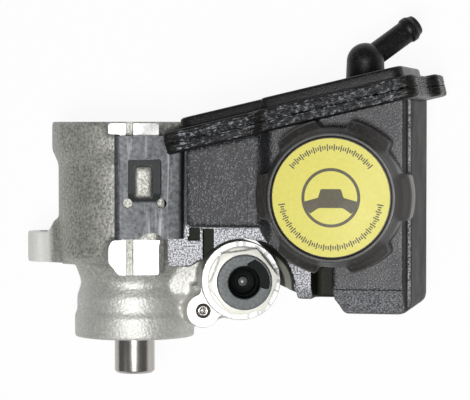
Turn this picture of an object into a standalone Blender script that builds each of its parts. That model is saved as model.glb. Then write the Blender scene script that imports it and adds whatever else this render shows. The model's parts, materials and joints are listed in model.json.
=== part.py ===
"""Vane type power steering pump with its plastic fluid reservoir.

Frame: the pump shaft lies along Y, its free end toward -Y. The origin is on the shaft's axis, in the
plane of the mounting ear's front face. +Z is up on the vehicle, along the filler cap's axis, and +X
points from the pump to the reservoir. The pump body is turned about its shaft against the reservoir,
so the pieces of the pump hang on an empty that holds this turn. All sizes are in metres.
"""

import math

import bmesh
import bpy
from mathutils import Matrix, Vector

GAP = 0.0003                 # between two pieces that touch
BODY_TILT = math.radians(18)  # pump body about the shaft, against the reservoir
FINE = 24                    # facets round a large turned piece
COARSE = 16                  # facets round a small one

# shaft and front bearing
SHAFT_R = 0.0085
SHAFT_STUB = 0.0159          # free end, ahead of the nose
SHAFT_CENTRE_R = SHAFT_R - 0.0043  # threaded hole in the free end
SHAFT_CENTRE_DEPTH = 0.0200
SPLINE_R = SHAFT_R - 0.0010  # rear part, in the rotor
SHAFT_TAIL = 0.0022          # past the rotor's rear face
BEARING_R = 0.0200
BEARING_WIDTH = 0.0120
BALL_R = (BEARING_R - SHAFT_R) * 0.278
BALL_PITCH_R = (BEARING_R + SHAFT_R) / 2
BALLS = 7
RACE_SHOULDER = BALL_R * 0.41  # races past the balls' widest part
BEARING_SEAT_Y = -0.0147     # shoulder in the nose
SEAL_R = SHAFT_R + (BEARING_R - SHAFT_R) * 0.565
SEAL_DEPTH = 0.0070
BUSHING_R = SHAFT_R + 0.0015
BUSHING_LENGTH = 0.0140
SNAP_RING_T = 0.0013
NOSE_LIP = 0.0022            # nose ahead of the snap ring

# pumping elements, from the front web to the rear mouth
WEB_REAR_Y = 0.0087
CAM_R = 0.02775
CAM_LENGTH = 0.0174
CAM_MIN_R = CAM_R - 0.00575
CAM_LIFT = 0.0025
THRUST_PLATE_T = 0.0060
PRESSURE_PLATE_T = 0.0087
SPRING_SPACE = 0.0045
END_COVER_T = 0.0085
RING_WIRE_R = 0.0011
MOUTH_LIP = 0.0021
ROTOR_CLEARANCE = 0.0004     # rotor to the cam's least radius
VANES = 10
VANE_T = 0.0018
VANE_HEIGHT = (CAM_MIN_R - SPLINE_R) * 0.55
VANE_TIP = 0.0003            # vane tip to the cam's least radius
SLOT_BOTTOM = 0.0009         # oil space under a vane
DOWEL_R = 0.0015
DOWEL_PITCH_R = CAM_R - 0.00275

# housing
BARREL_WALL = 0.0040
BORE_R = CAM_R + GAP
BARREL_R = BORE_R + BARREL_WALL
RIM_LENGTH = 0.0117
RIM_TAPER = 0.0060
RIM_STEP = 0.00265
FRONT_FILLET = 0.0045
BARREL_FRONT = 0.0004        # barrel's front face, just behind the ear's
NOSE_R = BEARING_R + 0.0043
NOSE_ROOT_R = NOSE_R + 0.0019
WAIST_R = NOSE_R - 0.0020
WAIST_Y = -0.0085
NOSE_COLLAR = 0.0010
NOSE_COLLAR_LENGTH = 0.0090
GALLERY_DEPTH = 0.0014
EAR_REACH = BARREL_R + 0.00555
EAR_R = 0.0090
EAR_T = 0.0127
BOLT_HOLE_R = 0.00425
STUD_BOSS_Z = -0.0080
STUD_BOSS_R = 0.0064
STUD_BOSS_FRONT = -0.0250
STUD_HOLE_R = 0.0034
STUD_HOLE_DEPTH = 0.0160

# rails, pads and retaining clips, above and below the barrel
PAD_Z = BARREL_R + 0.00395
PAD_ROOT = BARREL_R - 0.00505  # pads and rails start inside the barrel
PAD_OUT = -0.0136            # outer edge
PAD_GROOVE = (-0.0062, -0.0026)
PAD_IN = 0.0072
PAD_FRONT = -0.0034
PAD_REACH = 0.0112           # front pads run back to here
RAIL_Z = PAD_Z + 0.0019
RAIL_OUT = -0.0087
RAIL_SLOPE = 0.0029          # rail's inner flank, and the joint to the reservoir's rail
RESERVOIR_RAIL = 0.0053
CLIP_Z = RAIL_Z + 0.0031
CLIP_T = 0.0016
CLIP_FRONT = 0.0117
CLIP_LENGTH = 0.0419
CLIP_LEAN = 0.0005           # legs close in toward their feet
TONGUE_X = (-0.0052, 0.0079)
TONGUE_Y = (0.0262, 0.0439)
TONGUE_DROP = 0.0012
TONGUE_SLIT = 0.0007
LOCK_X = (-0.0025, 0.0044)
LOCK_Y = (0.0284, 0.0413)
LOCK_Z = CLIP_Z + 0.0005
RELIEF_R = 0.0020

# flow control valve, outlet fitting and passage plug
VALVE_X = BARREL_R + 0.00925
STUD_BOSS_X = VALVE_X + 0.0042
VALVE_Y = -0.0057
VALVE_BOSS_R = 0.0165
VALVE_BOSS_TOP = BARREL_R + 0.00395
VALVE_BORE_FLOOR = -0.0300
VALVE_FLOOR_T = 0.0040
SPOOL_R = 0.0087
SPOOL_LENGTH = 0.0200
SPOOL_POCKET_R = 0.0060
SPOOL_POCKET = 0.0120
SPRING_COIL_R = 0.0047
SPRING_WIRE_R = 0.0008
SPRING_TURNS = 6
SPRING_FACETS = 8           # a turn
STEM_LENGTH = 0.0120
COLLAR_R = 0.0140
COLLAR_T = 0.0022
HEX_ACROSS = 0.0250
HEX_HEIGHT = 0.0078
PORT_R = 0.0084
PORT_DEPTH = 0.0092
PLUG_R = 0.01125
PLUG_T = 0.0020
PLUG_WALL = 0.0016
LUG_X = VALVE_X - 0.0150
LUG_Y = -0.0186
LUG_R = 0.0071
LUG_TOP = VALVE_BOSS_TOP - 0.0060
PIN_R = 0.0028
PIN_LENGTH = 0.0080

# inlet between reservoir and barrel
INLET_Y = 0.0310
INLET_R = 0.0090
INLET_FACE_X = BARREL_R + 0.00175
INLET_BOSS_R = 0.0140
INLET_RING_R = 0.0009
SADDLE_GAP = 0.0010

# reservoir
WALL = 0.0026
LEFT_X = INLET_FACE_X - 0.0043
STEP_X = LEFT_X + 0.0350
RIGHT_X = STEP_X + 0.0570
BOTTOM_Z = -0.0250
LEFT_TOP = BARREL_R + 0.00095
RIGHT_TOP = LEFT_TOP + 0.0070
LEDGE_Z = RIGHT_TOP - 0.0110  # right wall steps out below this
LEDGE = 0.0019
FRONT_WIDTH = 0.0300         # part that reaches furthest forward
LEG_WIDTH = 0.0068           # between the arch and the recess beside that part
RECESS_FLOOR = RIGHT_TOP - 0.0150
RECESS_REAR_Y = 0.0020
LEFT_FRONT_Y = 0.0167
CREASE_Y = -0.0073
FRONT_Y = -0.0179
FRONT_DROP = 0.0100
APRON_TOP = LEFT_TOP - 0.0070
APRON_T = 0.0060
ARCH_X = LEFT_X + 0.0255
ARCH_Y = VALVE_Y - 0.0027
ARCH_R = 0.0194
ARCH_WALL = 0.0017           # arch in the apron to the wall behind it
PARTING_ANGLE = math.radians(13)
PARTING = 0.03935            # tub's side of the weld flange
FLANGE_T = 0.0043
FLANGE_RIM = 0.0045          # flange past the walls
FLANGE_NOTCH = 0.0240        # lower right corner of the flange that stands further out
COVER_RIM_T = 0.0046
COVER_RISE = 0.0045
SADDLE_T = 0.0035
NECK_X = RIGHT_X - 0.0281
NECK_Y = 0.0298
NECK_R = 0.0220
NECK_BORE_R = NECK_R - 0.0030
NECK_HEIGHT = 0.0100
NIPPLE_X = RIGHT_X - 0.0226
NIPPLE_Z = 0.0020
NIPPLE_R = 0.00775
NIPPLE_STAND = 0.0069        # boss behind the cover
HOSE_R = 0.0048
HOSE_BORE_R = 0.0032
HOSE_LENGTH = 0.0276
HOSE_RISE = math.radians(38.7)
HOSE_DIP = math.radians(25)

# filler cap
CAP_R = NECK_R + 0.0090
CAP_LOBES = 6
CAP_SCALLOP = 0.0034
CAP_SKIRT = 0.0130
CAP_TOP = 0.0053             # cap's plate
CAP_RIM = 0.0010
CAP_RIM_R = CAP_R - 0.0054
LABEL_R = CAP_R - 0.0078
LABEL_T = 0.0004
THREAD_SPACE = 0.0006
GASKET_T = 0.0017
GASKET_WIDTH = 0.0024
DIPSTICK_LENGTH = 0.0620
DIPSTICK_WIDTH = 0.0060
DIPSTICK_T = 0.0018

# places that follow from the sizes
THRUST_Y = WEB_REAR_Y + GAP
CAM_Y = THRUST_Y + THRUST_PLATE_T + GAP
PRESSURE_Y = CAM_Y + CAM_LENGTH + GAP
COVER_Y = PRESSURE_Y + PRESSURE_PLATE_T + SPRING_SPACE
RING_Y = COVER_Y + END_COVER_T + GAP + RING_WIRE_R
REAR_Y = RING_Y + RING_WIRE_R + MOUTH_LIP
BEARING_Y = BEARING_SEAT_Y - GAP - BEARING_WIDTH
SNAP_Y = BEARING_Y - GAP - SNAP_RING_T
NOSE_Y = SNAP_Y - GAP - NOSE_LIP
RIM_R = BARREL_R + RIM_STEP
ROTOR_R = CAM_MIN_R - ROTOR_CLEARANCE
VALVE_BORE_R = SPOOL_R + GAP
VALVE_BOTTOM = VALVE_BORE_FLOOR - VALVE_FLOOR_T
STEM_TOP = VALVE_BOSS_TOP + GAP
STEM_FOOT = STEM_TOP - STEM_LENGTH
SPOOL_TOP = STEM_FOOT - GAP
HEX_TOP = STEM_TOP + COLLAR_T + HEX_HEIGHT
RAIL_SEAM = PAD_IN + RAIL_SLOPE + 0.0004
CLIP_REAR = CLIP_FRONT + CLIP_LENGTH
CLIP_IN = RAIL_SEAM + RESERVOIR_RAIL + GAP
CLIP_OUT = RAIL_OUT - GAP
CLIP_FOOT = math.sqrt(RIM_R ** 2 - CLIP_OUT ** 2) + 2 * GAP  # legs end just over the rear rim
CLIP_UNDER = CLIP_Z - CLIP_T
NECK_TOP = RIGHT_TOP + NECK_HEIGHT
GASKET_Z = NECK_TOP + GAP
CAP_ROOF = GASKET_Z + GASKET_T + GAP


# drawing and solid helpers

def arc(x, y, radius, start, stop, steps):
    """Points on an arc, its angles in degrees."""
    angles = [math.radians(start + (stop - start) * i / steps) for i in range(steps + 1)]
    return [(x + radius * math.cos(a), y + radius * math.sin(a)) for a in angles]


def rounded(corners, steps=3):
    """Outline through corners (a, b) or (a, b, fillet radius)."""
    outline = []
    for i, corner in enumerate(corners):
        here = Vector(corner[:2])
        if len(corner) == 2:
            outline.append(tuple(here))
            continue
        back = (Vector(corners[i - 1][:2]) - here).normalized()
        ahead = (Vector(corners[(i + 1) % len(corners)][:2]) - here).normalized()
        half = back.angle(ahead) / 2
        centre = here + (back + ahead).normalized() * corner[2] / math.sin(half)
        first = here + back * corner[2] / math.tan(half) - centre
        sweep = first.angle_signed(here + ahead * corner[2] / math.tan(half) - centre)
        for k in range(steps + 1):
            turn = Matrix.Rotation(-sweep * k / steps, 2)
            outline.append(tuple(centre + turn @ first))
    return outline


def inset(corners, distance):
    """Outline moved inward, for corners in anticlockwise order."""
    moved = []
    for i, corner in enumerate(corners):
        here = Vector(corner[:2])
        back = (here - Vector(corners[i - 1][:2])).normalized()
        ahead = (Vector(corners[(i + 1) % len(corners)][:2]) - here).normalized()
        normal = Vector((-back.y - ahead.y, back.x + ahead.x)).normalized()
        shift = distance / max(0.3, normal.dot(Vector((-back.y, back.x))))
        point = tuple(here + normal * shift)
        moved.append(point + ((max(corner[2] - distance, 0.0004),) if len(corner) > 2 else ()))
    return moved


def turn_to(bm, axis):
    """Lays a solid drawn about Z along another axis, its heights toward +axis."""
    if axis == "Y":
        bmesh.ops.rotate(bm, verts=bm.verts, matrix=Matrix.Rotation(-math.pi / 2, 3, "X"))
    if axis == "X":
        bmesh.ops.rotate(bm, verts=bm.verts, matrix=Matrix.Rotation(math.pi / 2, 3, "Y"))


def as_object(bm, name="shape", parent=None, at=(0, 0, 0)):
    bmesh.ops.remove_doubles(bm, verts=bm.verts, dist=2e-6)
    bmesh.ops.recalc_face_normals(bm, faces=bm.faces)
    mesh = bpy.data.meshes.new(name)
    bm.to_mesh(mesh)
    bm.free()
    obj = bpy.data.objects.new(name, mesh)
    bpy.context.collection.objects.link(obj)
    obj.parent = parent
    obj.location = at
    return obj


def turned(profile, axis="Z", steps=20, **place):
    """Solid of revolution from a closed profile of (radius, height) points."""
    bm = bmesh.new()
    ring = [bm.verts.new((r, 0, h)) for r, h in profile]
    edges = [bm.edges.new((a, b)) for a, b in zip(ring, ring[1:] + ring[:1])
             if a.co.x > 1e-9 or b.co.x > 1e-9]
    bmesh.ops.spin(bm, geom=ring + edges, cent=(0, 0, 0), axis=(0, 0, 1),
                   angle=math.tau, steps=steps, use_merge=True)
    bmesh.ops.remove_doubles(bm, verts=bm.verts, dist=2e-6)
    bmesh.ops.dissolve_degenerate(bm, edges=bm.edges, dist=1e-6)
    turn_to(bm, axis)
    return as_object(bm, **place)


def tube(outer, inner, low, high, axis="Z", steps=20, **place):
    return turned([(inner, low), (outer, low), (outer, high), (inner, high)], axis, steps, **place)


def rod(radius, low, high, axis="Z", steps=COARSE, **place):
    return turned([(0, low), (radius, low), (radius, high), (0, high)], axis, steps, **place)


def loft(sections, axis="Z", **place):
    """Solid through (outline, level) sections with equal numbers of points, ends closed.

    An outline is (x, y) along Z, (x, z) along Y or (y, z) along X.
    """
    bm = bmesh.new()
    lift = {"Z": lambda a, b, h: (a, b, h), "Y": lambda a, b, h: (a, h, b),
            "X": lambda a, b, h: (h, a, b)}[axis]
    rings = [[bm.verts.new(lift(a, b, level)) for a, b in outline] for outline, level in sections]
    for low, high in zip(rings, rings[1:]):
        for k in range(len(low)):
            n = (k + 1) % len(low)
            bm.faces.new((low[k], low[n], high[n], high[k]))
    bm.faces.new(rings[0][::-1])
    bm.faces.new(rings[-1])
    return as_object(bm, **place)


def prism(outline, low, high, axis="Z", **place):
    return loft([(outline, low), (outline, high)], axis, **place)


def box(x, y, z, **place):
    return prism([(x[0], y[0]), (x[1], y[0]), (x[1], y[1]), (x[0], y[1])], z[0], z[1], **place)


def sweep(path, radius, sides, **place):
    """Round wire along a list of points, its ends closed."""
    bm = bmesh.new()
    rings = []
    side = None
    for i, point in enumerate(path):
        ahead = (path[min(i + 1, len(path) - 1)] - path[max(i - 1, 0)]).normalized()
        side = (side or ahead.orthogonal()).normalized()
        side = (side - ahead * side.dot(ahead)).normalized()
        other = ahead.cross(side)
        rings.append([bm.verts.new(point + (side * math.cos(a) + other * math.sin(a)) * radius)
                      for a in (math.tau * k / sides for k in range(sides))])
    for low, high in zip(rings, rings[1:]):
        for k in range(sides):
            n = (k + 1) % sides
            bm.faces.new((low[k], low[n], high[n], high[k]))
    bm.faces.new(rings[0][::-1])
    bm.faces.new(rings[-1])
    return as_object(bm, **place)


def boolean(target, tool, operation):
    """Joins, cuts or trims one solid by another and keeps the result as its mesh."""
    modifier = target.modifiers.new("trim", "BOOLEAN")
    modifier.operation = operation
    modifier.solver = "EXACT"
    modifier.object = tool
    graph = bpy.context.evaluated_depsgraph_get()
    mesh = bpy.data.meshes.new_from_object(target.evaluated_get(graph))
    target.modifiers.clear()
    bm = bmesh.new()
    bm.from_mesh(mesh)
    bmesh.ops.remove_doubles(bm, verts=bm.verts, dist=3e-6)
    bmesh.ops.dissolve_degenerate(bm, edges=bm.edges, dist=3e-6)
    bmesh.ops.dissolve_limit(bm, angle_limit=math.radians(0.3), verts=bm.verts, edges=bm.edges)
    bm.to_mesh(mesh)
    bm.free()
    target.data = mesh
    bpy.data.objects.remove(tool)


def join(target, *tools):
    for tool in tools:
        boolean(target, tool, "UNION")
    return target


def cut(target, *tools):
    for tool in tools:
        boolean(target, tool, "DIFFERENCE")
    return target


def trim(target, tool):
    boolean(target, tool, "INTERSECT")
    return target


def bevelled(obj, width, segments=2, angle=40):
    """Breaks the solid's sharp edges."""
    modifier = obj.modifiers.new("edge", "BEVEL")
    modifier.width = width
    modifier.segments = segments
    modifier.limit_method = "ANGLE"
    modifier.angle_limit = math.radians(angle)
    graph = bpy.context.evaluated_depsgraph_get()
    mesh = bpy.data.meshes.new_from_object(obj.evaluated_get(graph))
    obj.modifiers.clear()
    obj.data = mesh
    return obj


def piece(obj, name, colour, roughness=0.5, metallic=0.0):
    """Names a finished piece, gives it its own material and shades it."""
    obj.name = name
    obj.data.name = name
    surface = bpy.data.materials.new(name)
    surface.use_nodes = True
    shader = surface.node_tree.nodes["Principled BSDF"]
    shader.inputs["Base Color"].default_value = (*colour, 1)
    shader.inputs["Roughness"].default_value = roughness
    shader.inputs["Metallic"].default_value = metallic
    obj.data.materials.clear()
    obj.data.materials.append(surface)
    obj.data.shade_smooth()
    obj.data.set_sharp_from_angle(angle=math.radians(32))
    return obj


# colours

CAST = (0.56, 0.54, 0.50)
STEEL = (0.50, 0.50, 0.50)
HARD_STEEL = (0.32, 0.32, 0.33)
PHOSPHATE = (0.09, 0.09, 0.095)
PLATED = (0.78, 0.76, 0.70)
BLACK = (0.02, 0.02, 0.022)
RUBBER = (0.03, 0.03, 0.03)


# housing

def barrel():
    """Outer form of the cast body: rear rim, barrel, front fillet, waist and nose."""
    collar = NOSE_R + NOSE_COLLAR
    collar_y = NOSE_Y + NOSE_COLLAR_LENGTH
    rim_y = REAR_Y - RIM_LENGTH
    profile = rounded([
        (0, NOSE_Y), (collar, NOSE_Y, 0.0008), (collar, collar_y), (NOSE_R, collar_y + 0.0020),
        (NOSE_R, WAIST_Y - 0.0054, 0.0030), (WAIST_R, WAIST_Y, 0.0060), (NOSE_ROOT_R - 0.0014, -0.0016),
        (NOSE_ROOT_R, BARREL_FRONT), (BARREL_R, BARREL_FRONT, FRONT_FILLET),
        (BARREL_R, rim_y - RIM_TAPER, 0.0060),
        (RIM_R, rim_y), (RIM_R, REAR_Y, 0.0015), (0, REAR_Y)], 2)
    return turned(profile, "Y", FINE)


def mounting_ear():
    """Lug on the left of the barrel, flared where it meets the casting."""
    root = BARREL_R - 0.004
    lug = arc(-EAR_REACH, 0, EAR_R, 90, 270, 8)
    side = prism([(-root * 0.6, EAR_R + 0.011), (-root, EAR_R + 0.004)] + lug +
                 [(-root, -EAR_R - 0.004), (-root * 0.6, -EAR_R - 0.011)], 0, EAR_T * 2, "Y")
    plan = prism(rounded([(-EAR_REACH - EAR_R - 0.002, 0), (-0.012, 0), (-0.012, EAR_T + 0.009),
                          (-BARREL_R - 0.0002, EAR_T + 0.0055), (-BARREL_R - 0.003, EAR_T, 0.003),
                          (-EAR_REACH - EAR_R - 0.002, EAR_T)]), -0.03, 0.03)
    ear = trim(side, plan)
    ear.rotation_euler.y = -BODY_TILT
    bpy.context.view_layer.update()
    return ear


def pads_and_rail(side, lock_y):
    """Machined pads and the clip's rail, above (side 1) or below (side -1) the barrel."""
    root = PAD_ROOT
    pad = [(PAD_OUT, root), (PAD_OUT, PAD_Z), (PAD_GROOVE[0], PAD_Z), (PAD_GROOVE[0] + 0.0005, PAD_Z - 0.0022),
           (PAD_GROOVE[1] - 0.0005, PAD_Z - 0.0022), (PAD_GROOVE[1], PAD_Z), (PAD_IN, PAD_Z),
           (PAD_IN + RAIL_SLOPE, PAD_Z - 0.0040), (PAD_IN + RAIL_SLOPE, root)]
    flank = PAD_IN + RAIL_SLOPE - 0.0002
    rail = [(RAIL_OUT + 0.0025, root + 0.0005), (RAIL_OUT + CLIP_LEAN, CLIP_FOOT), (RAIL_OUT, RAIL_Z),
            (PAD_IN - 0.0002, RAIL_Z), (flank, RAIL_Z - 0.0050), (flank, root + 0.0005)]
    flip = lambda outline: [(x, side * z) for x, z in outline]
    rear = CLIP_REAR - 0.0024
    shapes = [
        prism(flip(rail), PAD_REACH - 0.001, rear + 0.001, "Y"),
        prism(flip(pad), PAD_FRONT, PAD_REACH, "Y"),
        prism(flip(pad), rear, REAR_Y - GAP, "Y"),
    ]
    cut(shapes[2], box((PAD_OUT - 0.001, RAIL_OUT + 0.0015), (rear - 0.001, CLIP_REAR + 0.0005),
                       sorted((side * root * 0.9, side * (CLIP_Z + 0.01)))))
    front_form = prism(rounded([(PAD_OUT - 0.001, PAD_REACH + 0.001), (PAD_OUT + 0.0025, PAD_REACH + 0.001),
                                (PAD_OUT, PAD_REACH - 0.0035), (PAD_OUT - 0.0006, PAD_REACH - 0.0060)]),
                       side * root * 0.7, side * (CLIP_Z + 0.01))
    cut(shapes[1], front_form)
    corner = prism([(PAD_OUT - 0.001, PAD_FRONT - 0.001), (PAD_OUT + 0.0048, PAD_FRONT - 0.001),
                    (PAD_OUT + 0.0030, PAD_FRONT + 0.0020), (PAD_OUT - 0.001, PAD_FRONT + 0.0064)],
                   side * root * 0.7, side * (CLIP_Z + 0.01))
    cut(shapes[1], corner)
    lock = prism(rounded([(LOCK_X[0], lock_y[0], 0.001), (LOCK_X[1], lock_y[0], 0.001),
                          (LOCK_X[1], lock_y[1], 0.001), (LOCK_X[0], lock_y[1], 0.001)]),
                 side * (root + 0.0010), side * LOCK_Z)
    return join(*shapes, lock)


def valve_side():
    """Bosses on the right: valve bore, plug lug, second mounting boss and the web that carries them."""
    boss = turned(rounded([(0, VALVE_BOTTOM), (VALVE_BOSS_R - 0.001, VALVE_BOTTOM, 0.003),
                           (VALVE_BOSS_R, VALVE_BOSS_TOP, 0.0012), (0, VALVE_BOSS_TOP)], 2),
                  at=(VALVE_X, VALVE_Y, 0))
    web = bevelled(box((0.010, VALVE_X), (-0.0165, 0.0085), (-0.019, 0.019)), 0.004, 1)
    lug = turned(rounded([(0, -0.010), (LUG_R + 0.001, -0.010), (LUG_R, LUG_TOP, 0.0008), (0, LUG_TOP)], 2),
                 steps=COARSE, at=(LUG_X, LUG_Y, 0))
    neck = prism([(LUG_X, LUG_Y - LUG_R * 0.8), (VALVE_X, VALVE_Y - VALVE_BOSS_R * 0.9),
                  (VALVE_X, VALVE_Y), (LUG_X - 0.004, LUG_Y + 0.010)], -0.008, LUG_TOP - 0.004)
    stud = turned(rounded([(0, STUD_BOSS_FRONT), (STUD_BOSS_R, STUD_BOSS_FRONT, 0.0006),
                           (STUD_BOSS_R + 0.001, VALVE_Y), (0, VALVE_Y)], 2), "Y", COARSE,
                  at=(STUD_BOSS_X, 0, STUD_BOSS_Z))
    return join(boss, web, lug, neck, stud)


def main_bore():
    """Stepped bore from the nose to the rear mouth, with its grooves."""
    bearing = BEARING_R + GAP
    snap = bearing + 0.0012
    seal = SEAL_R + GAP
    seal_rear = BEARING_SEAT_Y + SEAL_DEPTH + 2 * GAP
    gallery = CAM_Y + 0.0040
    mouth = RING_Y - RING_WIRE_R - GAP
    return turned([
        (0, NOSE_Y - 0.001), (bearing + 0.0012, NOSE_Y - 0.001), (bearing, NOSE_Y + 0.0006),
        (bearing, SNAP_Y - GAP), (snap, SNAP_Y - GAP), (snap, SNAP_Y + SNAP_RING_T + GAP),
        (bearing, SNAP_Y + SNAP_RING_T + GAP),
        (bearing, BEARING_SEAT_Y), (seal, BEARING_SEAT_Y), (seal, seal_rear),
        (BUSHING_R + GAP, seal_rear), (BUSHING_R + GAP, WEB_REAR_Y), (BORE_R, WEB_REAR_Y),
        (BORE_R, gallery), (BORE_R + GALLERY_DEPTH, gallery + GALLERY_DEPTH),
        (BORE_R + GALLERY_DEPTH, PRESSURE_Y - 0.0055), (BORE_R, PRESSURE_Y - 0.0040),
        (BORE_R, mouth), (BORE_R + 0.0016, mouth), (BORE_R + 0.0016, mouth + 2 * RING_WIRE_R + 2 * GAP),
        (BORE_R, mouth + 2 * RING_WIRE_R + 2 * GAP), (BORE_R, REAR_Y - 0.0006),
        (BORE_R + 0.0012, REAR_Y + 0.001), (0, REAR_Y + 0.001)], "Y", FINE)


def housing(tilt):
    body = barrel()
    body.parent = None
    join(body, mounting_ear(), pads_and_rail(1, LOCK_Y), pads_and_rail(-1, lower(LOCK_Y)),
         valve_side(), rod(INLET_BOSS_R, BORE_R - 0.002, INLET_FACE_X, "X", FINE, at=(0, INLET_Y, 0)))
    dowels = [rod(DOWEL_R + GAP, WEB_REAR_Y - 0.0035, WEB_REAR_Y + 0.001, "Y", 12,
                  at=(s * DOWEL_PITCH_R, 0, 0)) for s in (-1, 1)]
    cut(body, main_bore(),
        turned([(0, VALVE_BORE_FLOOR), (VALVE_BORE_R, VALVE_BORE_FLOOR),
                (VALVE_BORE_R, VALVE_BOSS_TOP - 0.0022), (VALVE_BORE_R + 0.0024, VALVE_BOSS_TOP - 0.0022),
                (VALVE_BORE_R + 0.0024, VALVE_BOSS_TOP + 0.001), (0, VALVE_BOSS_TOP + 0.001)],
               at=(VALVE_X, VALVE_Y, 0)),
        rod(INLET_R + GAP, BORE_R - 0.005, INLET_FACE_X + 0.001, "X", at=(0, INLET_Y, 0)),
        rod(INLET_R + 0.0026, INLET_FACE_X - 0.0020, INLET_FACE_X + 0.001, "X", at=(0, INLET_Y, 0)),
        rod(PIN_R + GAP, LUG_TOP - PIN_LENGTH - 0.001, LUG_TOP + 0.001, at=(LUG_X, LUG_Y, 0), steps=16),
        rod(STUD_HOLE_R, STUD_BOSS_FRONT - 0.001, STUD_BOSS_FRONT + STUD_HOLE_DEPTH, "Y", 16,
            at=(STUD_BOSS_X, 0, STUD_BOSS_Z)),
        ear_hole(), *dowels)
    body.parent = tilt
    return piece(body, "pump_housing", CAST, 0.55, 0.6)


def ear_hole():
    """Bolt hole of the ear, level with the shaft when the pump is in place."""
    x = -EAR_REACH * math.cos(BODY_TILT)
    z = -EAR_REACH * math.sin(BODY_TILT)
    return rod(BOLT_HOLE_R, -0.001, EAR_T + 0.012, "Y", 20, at=(x, 0, z))


def lower(span):
    """The lower clip is the same part turned over, so its features run the other way in Y."""
    return [CLIP_FRONT + CLIP_REAR - y for y in reversed(span)]


# pieces inside the barrel

def ring_piece(name, profile, colour, rough, metal, tilt, steps=COARSE):
    return piece(turned(profile, "Y", steps, parent=tilt), name, colour, rough, metal)


def torus(major, minor, height, axis="Z", steps=20, sides=4, **place):
    return turned([(major + r, height + h) for r, h in arc(0, 0, minor, 0, 360, sides)[:-1]],
                  axis, steps, **place)


def dowel_holes(low, high):
    return [rod(DOWEL_R + GAP, low, high, "Y", 12, at=(s * DOWEL_PITCH_R, 0, 0)) for s in (-1, 1)]


def plates(tilt):
    """Thrust plate, cam ring and pressure plate, held in line by two dowels."""
    thrust = tube(CAM_R, SHAFT_R + 0.0008, THRUST_Y, THRUST_Y + THRUST_PLATE_T, "Y", COARSE)
    cut(thrust, *dowel_holes(THRUST_Y - 0.001, CAM_Y))
    for s in (-1, 1):
        cut(thrust, prism(arc(0, 0, CAM_R + 0.001, 60 + 90 - 90 * s, 120 + 90 - 90 * s, 5) +
                          arc(0, 0, CAM_MIN_R - 0.003, 120 + 90 - 90 * s, 60 + 90 - 90 * s, 5),
                          THRUST_Y + 0.004, CAM_Y, "Y"))
    thrust.parent = tilt
    piece(thrust, "thrust_plate", STEEL, 0.4, 0.9)

    cam = rod(CAM_R, CAM_Y, CAM_Y + CAM_LENGTH, "Y", 20)
    outline = [((CAM_MIN_R + CAM_LIFT * (1 - math.cos(2 * a)) / 2) * math.cos(a),
                (CAM_MIN_R + CAM_LIFT * (1 - math.cos(2 * a)) / 2) * math.sin(a))
               for a in (math.tau * k / 40 for k in range(40))]
    cut(cam, prism(outline, CAM_Y - 0.001, CAM_Y + CAM_LENGTH + 0.001, "Y"),
        *dowel_holes(CAM_Y - 0.001, CAM_Y + CAM_LENGTH + 0.001))
    cam.parent = tilt
    piece(cam, "cam_ring", HARD_STEEL, 0.35, 0.9)

    rear = PRESSURE_Y + PRESSURE_PLATE_T
    plate = turned([(0, PRESSURE_Y + 0.0045), (SPLINE_R + 0.0035, PRESSURE_Y + 0.0045),
                    (SPLINE_R + 0.0035, PRESSURE_Y), (CAM_R, PRESSURE_Y), (CAM_R, rear - 0.0050),
                    (CAM_R - 0.0020, rear - 0.0050), (CAM_R - 0.0020, rear - 0.0026), (CAM_R, rear - 0.0026),
                    (CAM_R, rear), (CAM_R * 0.45, rear), (CAM_R * 0.43, rear - 0.0010),
                    (0, rear - 0.0010)], "Y", COARSE)
    cut(plate, *dowel_holes(PRESSURE_Y - 0.001, PRESSURE_Y + 0.0045))
    for start in (20, 200):
        slot = prism(arc(0, 0, CAM_MIN_R - 0.0020, start, start + 40, 4) +
                     arc(0, 0, CAM_MIN_R - 0.0055, start + 40, start, 4),
                     PRESSURE_Y - 0.001, rear + 0.001, "Y")
        cut(plate, slot)
    plate.parent = tilt
    piece(plate, "pressure_plate", STEEL, 0.4, 0.9)
    piece(torus(CAM_R - 0.00085, 0.00085, rear - 0.0038, "Y", parent=tilt), "pressure_plate_o_ring", RUBBER, 0.7)
    for k, s in enumerate((-1, 1)):
        piece(rod(DOWEL_R, WEB_REAR_Y - 0.0030, PRESSURE_Y + 0.0040, "Y", 12, parent=tilt,
                  at=(s * DOWEL_PITCH_R, 0, 0)), "dowel_pin_%d" % (k + 1), STEEL, 0.3, 1)


def wave_spring(tilt):
    """Wavy washer between the pressure plate and the end cover."""
    rear = PRESSURE_Y + PRESSURE_PLATE_T
    thick = 0.0008
    rise = SPRING_SPACE / 2 - GAP - thick / 2
    middle = rear + SPRING_SPACE / 2
    inner, outer = CAM_R - 0.00625, CAM_R - 0.00325
    steps = 24
    bm = bmesh.new()
    rings = []
    for i in range(steps):
        a = math.tau * i / steps
        h = middle + rise * math.cos(3 * a)
        rings.append([bm.verts.new((r * math.cos(a), y, r * math.sin(a)))
                      for r, y in ((inner, h - thick / 2), (outer, h - thick / 2),
                                   (outer, h + thick / 2), (inner, h + thick / 2))])
    for i in range(steps):
        one, two = rings[i], rings[(i + 1) % steps]
        for k in range(4):
            n = (k + 1) % 4
            bm.faces.new((one[k], one[n], two[n], two[k]))
    piece(as_object(bm, parent=tilt), "pressure_plate_spring", HARD_STEEL, 0.35, 0.9)


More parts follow.
